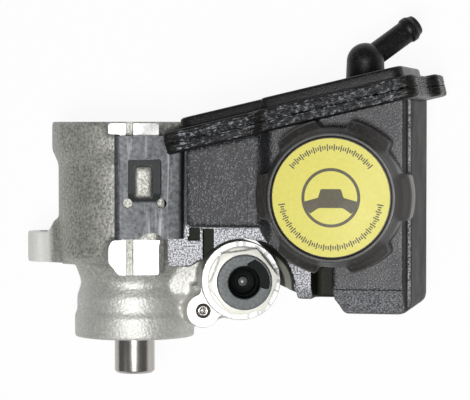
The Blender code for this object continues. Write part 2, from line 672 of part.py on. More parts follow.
def end_closure(tilt):
    rear = COVER_Y + END_COVER_T
    ring_piece("end_cover", [(0, COVER_Y + 0.0010), (CAM_R * 0.72, COVER_Y + 0.0010), (CAM_R * 0.74, COVER_Y),
                             (CAM_R, COVER_Y), (CAM_R, COVER_Y + 0.0020), (CAM_R - 0.0020, COVER_Y + 0.0020),
                             (CAM_R - 0.0020, COVER_Y + 0.0044), (CAM_R, COVER_Y + 0.0044), (CAM_R, rear - 0.0008),
                             (CAM_R - 0.0008, rear), (CAM_R * 0.40, rear), (CAM_R * 0.36, rear - 0.0012),
                             (0, rear - 0.0012)],
               STEEL, 0.4, 0.8, tilt)
    piece(torus(CAM_R - 0.00085, 0.00085, COVER_Y + 0.0032, "Y", parent=tilt), "end_cover_o_ring", RUBBER, 0.7)
    major = BORE_R + 0.0016 - GAP - RING_WIRE_R
    path = [Vector((major * math.cos(a), RING_Y, major * math.sin(a)))
            for a in (math.radians(120 + 330 * k / 24) for k in range(25))]
    piece(sweep(path, RING_WIRE_R, 5, parent=tilt), "end_cover_retaining_ring", HARD_STEEL, 0.35, 0.9)


def rotating_group(tilt):
    """Shaft, rotor, the rings on the shaft and the ten vanes."""
    front = NOSE_Y - SHAFT_STUB
    tail = CAM_Y + CAM_LENGTH + SHAFT_TAIL
    centre_floor = front + SHAFT_CENTRE_DEPTH
    clip_y = CAM_Y + CAM_LENGTH + 0.0002
    ring_piece("drive_shaft", [
        (0, centre_floor), (SHAFT_CENTRE_R, centre_floor - 0.002), (SHAFT_CENTRE_R, front + 0.0010),
        (SHAFT_CENTRE_R + 0.0010, front), (SHAFT_R - 0.0010, front), (SHAFT_R, front + 0.0010),
        (SHAFT_R, CAM_Y - 0.0010), (SPLINE_R, CAM_Y), (SPLINE_R, clip_y), (SPLINE_R - 0.0010, clip_y),
        (SPLINE_R - 0.0010, clip_y + 0.0012), (SPLINE_R, clip_y + 0.0012), (SPLINE_R, tail - 0.0004),
        (SPLINE_R - 0.0004, tail), (0, tail)], STEEL, 0.25, 1, tilt)
    piece(tube(SPLINE_R + 0.0020, SPLINE_R - 0.0010 + GAP, clip_y + 0.0002, clip_y + 0.0010, "Y", COARSE,
               parent=tilt), "shaft_retaining_ring", HARD_STEEL, 0.35, 0.9)

    rotor = tube(ROTOR_R, SPLINE_R + GAP, CAM_Y + 0.0001, CAM_Y + CAM_LENGTH - 0.0001, "Y", 20)
    tip = CAM_MIN_R - VANE_TIP
    for k in range(VANES):
        slot = box((tip - VANE_HEIGHT - SLOT_BOTTOM, ROTOR_R + 0.002), (CAM_Y - 0.001, CAM_Y + CAM_LENGTH + 0.001),
                   (-VANE_T / 2 - GAP, VANE_T / 2 + GAP))
        slot.rotation_euler.y = vane_angle(k)
        cut(rotor, slot)
    rotor.parent = tilt
    piece(rotor, "rotor", HARD_STEEL, 0.35, 0.9)

    section = rounded([(tip - VANE_HEIGHT, -VANE_T / 2), (tip, -VANE_T / 2, VANE_T * 0.4),
                       (tip, VANE_T / 2, VANE_T * 0.4), (tip - VANE_HEIGHT, VANE_T / 2)], 2)
    for k in range(VANES):
        vane = prism(section, CAM_Y + 0.0001, CAM_Y + CAM_LENGTH - 0.0001, "Y", parent=tilt)
        vane.rotation_euler.y = vane_angle(k)
        piece(vane, "vane_%02d" % (k + 1), STEEL, 0.3, 1)


def vane_angle(k):
    """Turn about the shaft that lays vane k in its slot."""
    return -math.tau * (k + 0.5) / VANES


def front_seals(tilt):
    seal_y = BEARING_SEAT_Y + GAP
    ring_piece("shaft_seal", [
        (SHAFT_R + GAP, seal_y + 0.0016), (SHAFT_R + 0.0022, seal_y), (SEAL_R, seal_y),
        (SEAL_R, seal_y + SEAL_DEPTH), (SHAFT_R + 0.0030, seal_y + SEAL_DEPTH),
        (SHAFT_R + 0.0030, seal_y + SEAL_DEPTH - 0.0012), (SEAL_R - 0.0014, seal_y + SEAL_DEPTH - 0.0012),
        (SEAL_R - 0.0014, seal_y + 0.0030), (SHAFT_R + 0.0018, seal_y + 0.0030), (SHAFT_R + GAP, seal_y + 0.0044)],
        RUBBER, 0.7, 0, tilt)
    bush_y = BEARING_SEAT_Y + SEAL_DEPTH + 2 * GAP + 0.0004
    piece(tube(BUSHING_R, SHAFT_R + GAP, bush_y, min(bush_y + BUSHING_LENGTH, WEB_REAR_Y - 0.0005), "Y", COARSE,
               parent=tilt), "shaft_bushing", (0.45, 0.30, 0.12), 0.4, 0.9)


def bearing(tilt):
    """Sealed-for-life ball bearing in the nose: two races, a cage and seven balls."""
    y0, y1 = BEARING_Y, BEARING_Y + BEARING_WIDTH
    middle = (y0 + y1) / 2
    groove = BALL_R + GAP
    inner_r = BALL_PITCH_R - groove + RACE_SHOULDER
    outer_r = BALL_PITCH_R + groove - RACE_SHOULDER
    half = math.degrees(math.acos((BALL_PITCH_R - inner_r) / groove))
    ring_piece("bearing_inner_ring", [(SHAFT_R + GAP, y0), (inner_r, y0)] +
               arc(BALL_PITCH_R, middle, groove, 180 + half, 180 - half, 4) +
               [(inner_r, y1), (SHAFT_R + GAP, y1)], STEEL, 0.2, 1, tilt, 20)
    ring_piece("bearing_outer_ring", [(BEARING_R, y0), (BEARING_R, y1), (outer_r, y1)] +
               arc(BALL_PITCH_R, middle, groove, half, -half, 4) + [(outer_r, y0)], STEEL, 0.2, 1, tilt, 20)
    snap = tube(BEARING_R + 0.0012, BEARING_R - 0.0022, SNAP_Y, SNAP_Y + SNAP_RING_T, "Y", FINE)
    cut(snap, box((-0.004, 0.004), (SNAP_Y - 0.001, SNAP_Y + 0.003), (-BEARING_R - 0.003, 0)))
    snap.parent = tilt
    piece(snap, "bearing_retaining_ring", HARD_STEEL, 0.35, 0.9)

    cage = tube(BALL_PITCH_R + BALL_R * 0.31, BALL_PITCH_R - BALL_R * 0.31, y0 + 0.0012, y1 - 0.0012, "Y")
    for k in range(BALLS):
        a = math.tau * k / BALLS
        pocket = rod(BALL_R + GAP, BALL_PITCH_R - BALL_R, BALL_PITCH_R + BALL_R, "X", 10,
                     at=(0, middle, 0))
        pocket.rotation_euler.y = -a
        cut(cage, pocket)
    cage.parent = tilt
    piece(cage, "bearing_cage", (0.30, 0.22, 0.10), 0.5, 0)
    ball = arc(0, 0, BALL_R, -90, 90, 4)
    for k in range(BALLS):
        a = math.tau * k / BALLS
        piece(turned([(max(r, 0), h) for r, h in ball], "Z", 8, parent=tilt,
                     at=(BALL_PITCH_R * math.cos(a), middle, BALL_PITCH_R * math.sin(a))),
              "bearing_ball_%d" % (k + 1), STEEL, 0.1, 1)


# retaining clips

def retaining_clip(name, tilt, turned_over):
    """Folded spring steel channel that clamps the reservoir's rail to the housing's."""
    low, foot, lean = CLIP_UNDER, CLIP_FOOT, CLIP_LEAN
    out, far = CLIP_OUT, CLIP_IN
    left, right = out - CLIP_T - 0.0006, far + CLIP_T
    channel = rounded([
        (out, low, 0.0006), (out + lean, foot), (out + lean - CLIP_T, foot), (left, CLIP_Z, 0.0022),
        (right, CLIP_Z, 0.0022), (right - lean, foot), (right - lean - CLIP_T, foot), (far, low, 0.0006)], 3)
    clip = prism(channel, CLIP_FRONT, CLIP_REAR, "Y")
    slit = TONGUE_SLIT
    x0, x1 = TONGUE_X
    y0, y1 = TONGUE_Y
    opening = prism(rounded([(x0 - slit, y0), (x1 + slit, y0), (x1 + slit, y1 + slit, 0.0012),
                             (x0 - slit, y1 + slit, 0.0012)]), low - 0.001, CLIP_Z + 0.001)
    arch = prism(arc((x0 + x1) / 2 + 0.0028, CLIP_FRONT - 0.0042, 0.0066, 0, 180, 8), low - 0.001, CLIP_Z + 0.001)
    cut(clip, opening, arch, *[rod(RELIEF_R, low - 0.001, CLIP_Z + 0.001, steps=16, at=(x, y0, 0))
                               for x in (x0 - slit / 2, x1 + slit / 2)])
    bend = y0 + 0.0040
    tongue = prism([(y0 - 0.0005, CLIP_Z), (y0 - 0.0005, low), (y0 + 0.0005, low), (bend, low - TONGUE_DROP),
                    (y1, low - TONGUE_DROP), (y1, CLIP_Z - TONGUE_DROP), (bend, CLIP_Z - TONGUE_DROP),
                    (y0 + 0.0005, CLIP_Z)], x0 + RELIEF_R, x1 - RELIEF_R, "X")
    tongue = join(tongue, prism([(bend, low - TONGUE_DROP), (y1, low - TONGUE_DROP), (y1, CLIP_Z - TONGUE_DROP),
                                 (bend, CLIP_Z - TONGUE_DROP)], x0, x1, "X"))
    space = 0.0005
    window = prism(rounded([(x, y, 0.001) for x, y in ((LOCK_X[0] - space, LOCK_Y[0] - space),
                                                       (LOCK_X[1] + space, LOCK_Y[0] - space),
                                                       (LOCK_X[1] + space, LOCK_Y[1] + space),
                                                       (LOCK_X[0] - space, LOCK_Y[1] + space))]),
                   low - 0.003, CLIP_Z + 0.001)
    join(clip, tongue)
    cut(clip, window)
    clip.parent = tilt
    if turned_over:
        clip.rotation_euler.x = math.pi
        clip.location.y = CLIP_FRONT + CLIP_REAR
    return piece(clip, name, PHOSPHATE, 0.45, 0.7)


# outlet fitting and flow control valve

def outlet(tilt):
    place = dict(at=(VALVE_X, VALVE_Y, 0))
    hex_r = HEX_ACROSS / 2 / math.cos(math.pi / 6)
    fitting = prism([(x, y) for x, y in arc(0, 0, hex_r, 8, 368, 6)[:-1]], STEM_TOP + COLLAR_T - 0.0002, HEX_TOP)
    crown = turned([(0, STEM_FOOT - 0.002), (COLLAR_R + 0.003, STEM_FOOT - 0.002), (COLLAR_R + 0.003, HEX_TOP - 0.0022),
                    (HEX_ACROSS / 2 - 0.0003, HEX_TOP + 0.00005), (0, HEX_TOP + 0.00005)])
    trim(fitting, crown)
    join(fitting, turned([(0, STEM_FOOT), (SPOOL_R - 0.0008, STEM_FOOT), (SPOOL_R, STEM_FOOT + 0.0008), (SPOOL_R, STEM_TOP),
                          (COLLAR_R - 0.0006, STEM_TOP), (COLLAR_R, STEM_TOP + 0.0006),
                          (COLLAR_R, STEM_TOP + COLLAR_T - 0.0006), (COLLAR_R - 0.0006, STEM_TOP + COLLAR_T),
                          (0, STEM_TOP + COLLAR_T)]))
    floor = HEX_TOP - PORT_DEPTH
    cut(fitting, turned([(0, STEM_FOOT - 0.001), (0.0030, STEM_FOOT - 0.001), (0.0030, floor - 0.003), (PORT_R, floor),
                         (PORT_R, HEX_TOP + 0.001), (0, HEX_TOP + 0.001)], steps=20))
    fitting.location = place["at"]
    fitting.parent = tilt
    piece(fitting, "outlet_fitting", PLATED, 0.25, 1)
    piece(torus(SPOOL_R + GAP + 0.00095, 0.00085, VALVE_BOSS_TOP - 0.00105, parent=tilt, **place),
          "fitting_o_ring", RUBBER, 0.7)

    stem = PORT_R - GAP
    foot = floor + 0.0014
    pocket = foot + PLUG_WALL
    plug = turned([(0, foot), (stem - 0.0008, foot), (stem, foot + 0.0012), (stem, HEX_TOP + GAP), (PLUG_R, HEX_TOP + GAP),
                   (PLUG_R, HEX_TOP + GAP + PLUG_T - 0.0005), (PLUG_R - 0.0005, HEX_TOP + GAP + PLUG_T),
                   (stem - PLUG_WALL, HEX_TOP + GAP + PLUG_T), (stem - PLUG_WALL - 0.0006, pocket),
                   (0, pocket)], steps=20)
    notch = prism(rounded([(0.0015, 0.0040), (0.0075, 0.0002, 0.001), (0.0096, 0.0020, 0.001), (0.0040, 0.0078, 0.001)]),
                  HEX_TOP + GAP + 0.0007, HEX_TOP + 0.004)
    cut(plug, notch)
    plug.location = place["at"]
    plug.parent = tilt
    piece(plug, "shipping_plug", (0.12, 0.13, 0.14), 0.6)
    piece(turned([(0, LUG_TOP - PIN_LENGTH), (PIN_R, LUG_TOP - PIN_LENGTH), (PIN_R, LUG_TOP - 0.0006),
                  (PIN_R - 0.0006, LUG_TOP), (0.0012, LUG_TOP), (0.0008, LUG_TOP - 0.0006), (0, LUG_TOP - 0.0006)],
                 steps=16, parent=tilt, at=(LUG_X, LUG_Y, 0)), "passage_plug_pin", STEEL, 0.3, 1)


def flow_control_valve(tilt):
    place = dict(parent=tilt, at=(VALVE_X, VALVE_Y, 0))
    foot = SPOOL_TOP - SPOOL_LENGTH
    roof = foot + SPOOL_POCKET
    piece(turned([(SPOOL_POCKET_R, foot), (SPOOL_R, foot), (SPOOL_R, foot + 0.0060), (SPOOL_R - 0.0018, foot + 0.0068),
                  (SPOOL_R - 0.0018, foot + 0.0112), (SPOOL_R, foot + 0.0120), (SPOOL_R, SPOOL_TOP - 0.0030),
                  (SPOOL_R - 0.0030, SPOOL_TOP - 0.0022), (SPOOL_R - 0.0030, SPOOL_TOP), (0, SPOOL_TOP),
                  (0, roof), (SPOOL_POCKET_R, roof)], steps=20, **place), "control_valve_spool", STEEL, 0.25, 1)
    low = VALVE_BORE_FLOOR + GAP + SPRING_WIRE_R
    high = roof - GAP - SPRING_WIRE_R
    points = SPRING_TURNS * SPRING_FACETS
    coil = []
    for i in range(points + 1):
        a = math.tau * i / SPRING_FACETS
        t = i / points
        ends = 0.06
        climb = min(max((t - ends) / (1 - 2 * ends), 0), 1)
        coil.append(Vector((SPRING_COIL_R * math.cos(a), SPRING_COIL_R * math.sin(a), low + (high - low) * climb)))
    piece(sweep(coil, SPRING_WIRE_R, 5, **place), "flow_control_spring", HARD_STEEL, 0.3, 1)


# reservoir

def parting_y(x, level):
    """Y of the slanted weld plane at x, for a level measured square to it."""
    return level / math.cos(PARTING_ANGLE) + x * math.tan(PARTING_ANGLE)


def tub_block(shell, rear):
    """Body of the tub, moved inward by shell: a low left part and a high right part."""
    top = min(LEFT_TOP, RIGHT_TOP) - shell
    left = [(LEFT_X, LEFT_FRONT_Y, 0.003), (STEP_X + 0.004 + 2 * shell, LEFT_FRONT_Y),
            (STEP_X + 0.004 + 2 * shell, parting_y(STEP_X, rear)), (LEFT_X, parting_y(LEFT_X, rear))]
    arch = arc(ARCH_X, ARCH_Y, ARCH_R + ARCH_WALL, 62, 0, 6)
    leg_y = CREASE_Y - 0.0045
    right = [(STEP_X, LEFT_FRONT_Y - 0.002), *arch,
             (ARCH_X + ARCH_R + ARCH_WALL, leg_y, 0.001), (RIGHT_X - FRONT_WIDTH, leg_y, 0.002),
             (RIGHT_X - FRONT_WIDTH + 0.003, FRONT_Y, 0.002), (RIGHT_X, FRONT_Y, 0.005),
             (RIGHT_X, parting_y(RIGHT_X, rear)), (STEP_X, parting_y(STEP_X, rear))]
    if shell:
        left, right = inset(left, shell), inset(right, shell)
        back = [(x, parting_y(x, rear)) for x in (LEFT_X + shell, STEP_X + shell, RIGHT_X - shell)]
        left[3], right[-2], right[-1] = back[0], back[2], back[1]
    low = BOTTOM_Z + shell
    body = prism(rounded(left), low, top)
    join(body, prism(rounded(right), low, RIGHT_TOP - shell))
    slope = Vector((FRONT_DROP, FRONT_Y - CREASE_Y)).normalized() * shell
    wedge = prism([(CREASE_Y + 0.010, RIGHT_TOP + 0.010), (CREASE_Y + slope.x, RIGHT_TOP + slope.y),
                   (FRONT_Y + slope.x, RIGHT_TOP - FRONT_DROP + slope.y),
                   (FRONT_Y - 0.010, RIGHT_TOP - FRONT_DROP - 0.0094), (FRONT_Y - 0.010, RIGHT_TOP + 0.010)],
                  STEP_X - 0.030, RIGHT_X + 0.010, "X")
    recess = box((ARCH_X + ARCH_R + ARCH_WALL + LEG_WIDTH - shell, RIGHT_X - FRONT_WIDTH - 0.0005 + shell),
                 (FRONT_Y - 0.010, RECESS_REAR_Y + shell), (RECESS_FLOOR - shell, RIGHT_TOP + 0.010))
    side = box((RIGHT_X - LEDGE - shell, RIGHT_X + 0.010), (FRONT_Y - 0.010, parting_y(RIGHT_X, rear) + 0.005),
               (LEDGE_Z - shell, RIGHT_TOP + 0.010))
    return cut(body, wedge, recess, side)


def flange_outline():
    """Outline of the weld flange seen square to the parting plane: (along it, height)."""
    along = lambda x: (x + PARTING * math.sin(PARTING_ANGLE)) / math.cos(PARTING_ANGLE)
    top, low = RIGHT_TOP + FLANGE_RIM, BOTTOM_Z - FLANGE_RIM
    corners = [(along(LEFT_X - 0.0008), low, 0.004), (along(RIGHT_X + 0.0085), low, 0.004),
               (along(RIGHT_X + 0.0085), low + FLANGE_NOTCH, 0.003),
               (along(RIGHT_X + FLANGE_RIM), low + FLANGE_NOTCH + 0.003, 0.003),
               (along(RIGHT_X + FLANGE_RIM), top, 0.004), (along(STEP_X - 0.001), top, 0.001),
               (along(STEP_X - 0.006), LEFT_TOP + 0.007, 0.001), (along(LEFT_X - 0.0063), LEFT_TOP + 0.007, 0.0022),
               (along(LEFT_X - 0.0063), LEFT_TOP + 0.0022, 0.001), (along(LEFT_X - 0.0008), LEFT_TOP + 0.0015)]
    return rounded(corners)


def wall_outline(step):
    """Outline of the tub's walls in the same view, moved inward by step."""
    along = lambda x: (x + PARTING * math.sin(PARTING_ANGLE)) / math.cos(PARTING_ANGLE)
    corners = [(along(LEFT_X), BOTTOM_Z, 0.005), (along(RIGHT_X), BOTTOM_Z, 0.005), (along(RIGHT_X), RIGHT_TOP, 0.005),
               (along(STEP_X), RIGHT_TOP, 0.003), (along(STEP_X), LEFT_TOP, 0.001), (along(LEFT_X), LEFT_TOP, 0.005)]
    return rounded(inset(corners, step))


def on_parting(solid):
    """Turns a solid drawn square to Y onto the slanted parting plane."""
    solid.rotation_euler.z = PARTING_ANGLE
    return solid


def parting_slab(outline, low, high):
    return on_parting(prism(outline, low, high, "Y"))


def pump_clearance(tilt):
    """Space that the reservoir leaves for the pump body, its clips and the outlet fitting."""
    gap = SADDLE_GAP
    rim_y = REAR_Y - RIM_LENGTH - RIM_TAPER
    space = turned([(0, NOSE_Y), (BARREL_R + gap, NOSE_Y), (BARREL_R + gap, rim_y - gap),
                    (RIM_R + gap, rim_y + RIM_TAPER - gap), (RIM_R + gap, REAR_Y + gap), (0, REAR_Y + gap)],
                   "Y", 32, parent=tilt)
    over = CLIP_IN + CLIP_T + gap
    shapes = [
        rod(INLET_BOSS_R + gap, 0.010, INLET_FACE_X + GAP, "X", FINE, parent=tilt, at=(0, INLET_Y, 0)),
        rod(VALVE_BOSS_R + gap, VALVE_BOTTOM - gap, VALVE_BOSS_TOP + 0.012, "Z", FINE, parent=tilt,
            at=(VALVE_X, VALVE_Y, 0)),
        box((0.005, VALVE_X), (-0.0175, 0.0095), (-0.020, 0.020), parent=tilt)]
    for side in (-1, 1):
        reach = sorted((side * (BARREL_R - 0.004), side * (CLIP_Z + gap)))
        shapes.append(box((PAD_OUT - gap, RAIL_SEAM), (PAD_FRONT - gap, REAR_Y + gap), reach, parent=tilt))
        seat = sorted((side * (CLIP_FOOT - GAP), side * (CLIP_Z + gap)))
        shapes.append(box((CLIP_IN - GAP - CLIP_LEAN, over), (CLIP_FRONT - gap, CLIP_REAR + gap), seat, parent=tilt))
        roof = sorted((side * (CLIP_UNDER - GAP), side * (CLIP_Z + gap)))
        shapes.append(box((RAIL_SEAM - 0.001, over), (CLIP_FRONT - gap, CLIP_REAR + gap), roof, parent=tilt))
    return join(space, *shapes)


def saddle(tilt):
    """Web that wraps the barrel and ends in the rails under the two clips."""
    reach = BARREL_R + SADDLE_GAP
    angle = 68
    ring = arc(0, 0, reach + SADDLE_T, -angle, angle, 14)
    web = prism(ring + arc(0, 0, reach - 0.002, angle, -angle, 14), CLIP_FRONT + 0.0015, parting_y(LEFT_X, PARTING), "Y",
                parent=tilt)
    top, root = CLIP_UNDER - GAP, BARREL_R - 0.0030
    for side in (-1, 1):
        rail = [(RAIL_SEAM, root), (RAIL_SEAM, top), (CLIP_IN - GAP, top), (CLIP_IN - GAP - CLIP_LEAN, CLIP_FOOT - GAP),
                (CLIP_IN + 0.004, CLIP_FOOT - GAP), (CLIP_IN + 0.004, root)]
        join(web, prism([(x, side * z) for x, z in rail], CLIP_FRONT + 0.0008, CLIP_REAR - 0.0010, "Y", parent=tilt))
    beyond = [(-0.05, -0.06), (0.15, -0.06), (0.15, 0.06), (-0.05, 0.06)]
    return cut(web, parting_slab(beyond, PARTING + FLANGE_T, PARTING + 0.03))


def apron():
    """Foot beside the front pad and the arch over the outlet fitting."""
    foot_x, far = LEFT_X - 0.0096, ARCH_X + ARCH_R
    outline = ([(foot_x, -0.0001), (foot_x + 0.0092, -0.0002), (foot_x + 0.0151, 0.0030)] +
               arc(ARCH_X, ARCH_Y, ARCH_R, 150, 14, 12) +
               [(far - 0.0016, ARCH_Y + 0.0004), (far, ARCH_Y - 0.0022), (far + 0.0036, CREASE_Y - 0.0045),
                (far + 0.006, CREASE_Y - 0.0045), (far + 0.006, LEFT_FRONT_Y + 0.002), (foot_x, LEFT_FRONT_Y + 0.002)])
    plate = prism(outline, APRON_TOP - APRON_T, APRON_TOP)
    return cut(plate, box((foot_x + 0.0153, foot_x + 0.0201), (-0.006, LEFT_FRONT_Y - 0.001),
                          (APRON_TOP - 0.0028, APRON_TOP + 0.001)))


def reservoir(tilt):
    tub = tub_block(0, PARTING + 0.001)
    join(tub, parting_slab(flange_outline(), PARTING, PARTING + FLANGE_T), apron(), saddle(tilt),
         rod(NECK_R, RIGHT_TOP - 0.001, NECK_TOP, steps=FINE, at=(NECK_X, NECK_Y, 0)))
    cut(tub, pump_clearance(tilt))
    join(tub, rod(INLET_R, BORE_R + 0.0008, LEFT_X + 0.012, "X", 32, parent=tilt, at=(0, INLET_Y, 0)))
    cut(tub, tub_block(WALL, PARTING + FLANGE_T + 0.002),
        rod(NECK_BORE_R, RIGHT_TOP - WALL - 0.001, NECK_TOP + 0.001, steps=FINE, at=(NECK_X, NECK_Y, 0)),
        rod(INLET_R - 0.0018, BORE_R - 0.001, LEFT_X + 0.016, "X", parent=tilt, at=(0, INLET_Y, 0)))
    piece(tub, "reservoir_tub", BLACK, 0.55)
    piece(torus(INLET_R + GAP + 0.00115, INLET_RING_R, INLET_FACE_X - 0.00085, "X", parent=tilt,
                at=(0, INLET_Y, 0)), "reservoir_o_ring", RUBBER, 0.7)


def cover_rear(x):
    """Y of the cover's outer face at x."""
    return parting_y(x, PARTING + FLANGE_T + GAP + COVER_RIM_T + COVER_RISE)


def return_nipple():
    """Domed boss on the cover and the slanted hose nipple that leaves it."""
    face = cover_rear(NIPPLE_X)
    dome = face + NIPPLE_STAND
    boss = turned([(0, face - 0.0073), (NIPPLE_R + 0.0006, face - 0.0073), (NIPPLE_R, dome)] +
                  arc(0, dome, NIPPLE_R, 20, 90, 4), "Y", 20, at=(NIPPLE_X, 0, NIPPLE_Z))
    bead = HOSE_R + 0.0006
    pipe = turned([(0, 0), (HOSE_R, 0), (HOSE_R, HOSE_LENGTH - 0.0060), (bead, HOSE_LENGTH - 0.0050),
                   (bead, HOSE_LENGTH - 0.0030), (HOSE_R - 0.0002, HOSE_LENGTH - 0.0015),
                   (HOSE_R - 0.0006, HOSE_LENGTH), (0, HOSE_LENGTH)], "X", 16)
    aim = Matrix.Rotation(HOSE_RISE, 4, "Z") @ Matrix.Rotation(HOSE_DIP, 4, "Y")
    place = Matrix.Translation((NIPPLE_X, dome, NIPPLE_Z)) @ aim
    pipe.matrix_world = place
    return join(boss, pipe), place


def cover():
    low = PARTING + FLANGE_T + GAP
    rim = low + COVER_RIM_T
    lid = parting_slab(flange_outline(), low, rim)
    edge = 0.0012
    raised = on_parting(loft([(wall_outline(0), rim - 0.001), (wall_outline(0), rim + COVER_RISE - edge),
                              (wall_outline(edge), rim + COVER_RISE)], "Y"))
    join(lid, raised)
    nipple, place = return_nipple()
    join(lid, nipple)
    return lid, place, rim


def reservoir_cover(tilt):
    lid, place, rim = cover()
    cut(lid, pump_clearance(tilt))
    hollow = parting_slab(wall_outline(WALL), PARTING + 0.002, rim + COVER_RISE - WALL)
    face = cover_rear(NIPPLE_X)
    bore = rod(HOSE_BORE_R, 0, HOSE_LENGTH + 0.001, "X", 12)
    bore.matrix_world = place
    cut(lid, hollow, bore,
        rod(HOSE_BORE_R + 0.0008, face - 0.0113, face + NIPPLE_STAND + 0.001, "Y", 20, at=(NIPPLE_X, 0, NIPPLE_Z)))
    return piece(lid, "reservoir_cover", BLACK, 0.5)


# filler cap

def lobed_outline():
    """Skirt of the cap: a circle with a shallow scallop between each two lobes."""
    points = []
    steps = CAP_LOBES * 8
    for k in range(steps):
        a = math.tau * k / steps
        near = math.cos(CAP_LOBES * a + math.pi)
        dip = min(max((near - 0.05) / 0.5, 0), 1)
        r = CAP_R - CAP_SCALLOP * dip
        points.append((r * math.cos(a), r * math.sin(a)))
    return points


def filler_cap():
    place = dict(at=(NECK_X, NECK_Y, 0))
    foot = RIGHT_TOP + 0.0006
    top = CAP_ROOF + CAP_TOP
    shoulder = foot + CAP_SKIRT
    shell = prism(lobed_outline(), foot, shoulder)
    dome = turned([(0, foot), (CAP_R + 0.001, foot), (CAP_R + 0.001, shoulder - 0.0012), (CAP_R - 0.0012, shoulder + 0.0001),
                   (0, shoulder + 0.0001)], steps=40)
    trim(shell, dome)
    join(shell, turned([(0, shoulder - 0.001), (CAP_R - 0.0035, shoulder - 0.001), (CAP_RIM_R, top),
                        (CAP_RIM_R - 0.0003, top + CAP_RIM), (LABEL_R + 0.0010, top + CAP_RIM), (LABEL_R + GAP, top),
                        (0, top)], steps=40))
    cut(shell, rod(NECK_R + THREAD_SPACE, foot - 0.001, CAP_ROOF, steps=FINE),
        tube(CAP_R - 0.0045, NECK_R + THREAD_SPACE + 0.0022, foot - 0.001, CAP_ROOF - 0.002, steps=FINE))
    shell.location = place["at"]
    piece(shell, "cap_shell", BLACK, 0.45)
    piece(rod(LABEL_R, top + GAP, top + GAP + LABEL_T, steps=40, **place), "cap_label", (0.75, 0.72, 0.18), 0.5)
    piece(tube(NECK_R - 0.0002, NECK_R - 0.0002 - GASKET_WIDTH, GASKET_Z, GASKET_Z + GASKET_T, steps=24, **place),
          "cap_gasket", RUBBER, 0.7)
    head = CAP_ROOF - GAP
    stick = rod(0.0075, head - 0.0022, head, steps=20)
    join(stick, box((-DIPSTICK_WIDTH / 2, DIPSTICK_WIDTH / 2), (-DIPSTICK_T / 2, DIPSTICK_T / 2),
                    (head - DIPSTICK_LENGTH, head - 0.0015)))
    stick.location = place["at"]
    piece(stick, "cap_dipstick", BLACK, 0.5)


def main():
    for old in list(bpy.data.objects):
        bpy.data.objects.remove(old)
    tilt = bpy.data.objects.new("pump_tilt", None)
    bpy.context.collection.objects.link(tilt)
    tilt.rotation_euler.y = BODY_TILT
    bpy.context.view_layer.update()
    housing(tilt)
    front_seals(tilt)
    bearing(tilt)
    plates(tilt)
    wave_spring(tilt)
    end_closure(tilt)
    rotating_group(tilt)
    retaining_clip("retaining_clip_upper", tilt, False)
    retaining_clip("retaining_clip_lower", tilt, True)
    outlet(tilt)
    flow_control_valve(tilt)
    reservoir(tilt)
    reservoir_cover(tilt)
    filler_cap()


main()
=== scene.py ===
import json
import math

import bmesh
import bpy
from mathutils import Matrix, Vector


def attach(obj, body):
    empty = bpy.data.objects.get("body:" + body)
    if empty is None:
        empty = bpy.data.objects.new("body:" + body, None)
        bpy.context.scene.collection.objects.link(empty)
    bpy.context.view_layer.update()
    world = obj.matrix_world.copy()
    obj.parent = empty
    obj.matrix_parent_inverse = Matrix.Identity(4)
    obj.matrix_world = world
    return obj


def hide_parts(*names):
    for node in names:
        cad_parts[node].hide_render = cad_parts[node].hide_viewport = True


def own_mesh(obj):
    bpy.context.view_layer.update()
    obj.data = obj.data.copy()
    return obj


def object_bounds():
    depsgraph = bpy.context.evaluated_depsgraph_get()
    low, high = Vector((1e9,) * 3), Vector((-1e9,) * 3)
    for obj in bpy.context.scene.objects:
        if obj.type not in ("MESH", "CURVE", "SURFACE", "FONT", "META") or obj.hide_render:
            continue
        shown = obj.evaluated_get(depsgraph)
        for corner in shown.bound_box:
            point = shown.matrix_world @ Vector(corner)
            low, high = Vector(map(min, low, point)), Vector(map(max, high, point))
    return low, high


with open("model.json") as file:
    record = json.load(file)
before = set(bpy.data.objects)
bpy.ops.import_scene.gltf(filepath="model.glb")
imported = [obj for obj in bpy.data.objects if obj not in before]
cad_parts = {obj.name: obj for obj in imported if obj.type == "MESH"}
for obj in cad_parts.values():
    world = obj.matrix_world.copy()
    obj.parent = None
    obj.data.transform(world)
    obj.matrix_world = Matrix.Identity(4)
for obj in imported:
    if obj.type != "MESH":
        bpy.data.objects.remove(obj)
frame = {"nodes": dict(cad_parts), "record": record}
cad_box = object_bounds()
nodes = frame["nodes"]


# Studio. The pump lies on a pale sheet under a soft lamp near the camera, with a weak one at the side, as
# for a catalogue picture. The camera looks down on the filler cap, a little from the right and from behind.

def in_scene(data, name="form"):
    """An object of a mesh, a lamp or a camera, in the scene."""
    obj = bpy.data.objects.new(name, data)
    bpy.context.collection.objects.link(obj)
    return obj


floor_z = cad_box[0][2] - 0.0004
camera = in_scene(bpy.data.cameras.new("camera"), "camera")
camera.data.lens = 167.4
camera.data.sensor_width = 36
eye, aim = Vector((0.226395, 0.060127, 0.898967)), Vector((0.043498, 0.026488, 0))
back = (eye - aim).normalized()
right = Vector((0, 1, 0)).cross(back).normalized()
camera.matrix_world = Matrix.Translation(eye) @ Matrix((right, back.cross(right), back)).transposed().to_4x4()
scene = bpy.context.scene
scene.camera = camera
scene.view_settings.view_transform = "Standard"


def new_material(name, **plain):
    """A material with its Principled shader's plain sockets set, its node tree and that shader."""
    material = bpy.data.materials.new(name)
    material.use_nodes = True
    tree = material.node_tree
    shader = tree.nodes["Principled BSDF"]
    for socket, value in plain.items():
        shader.inputs[socket.replace("_", " ").title().replace("Ior", "IOR")].default_value = value
    return material, tree, shader


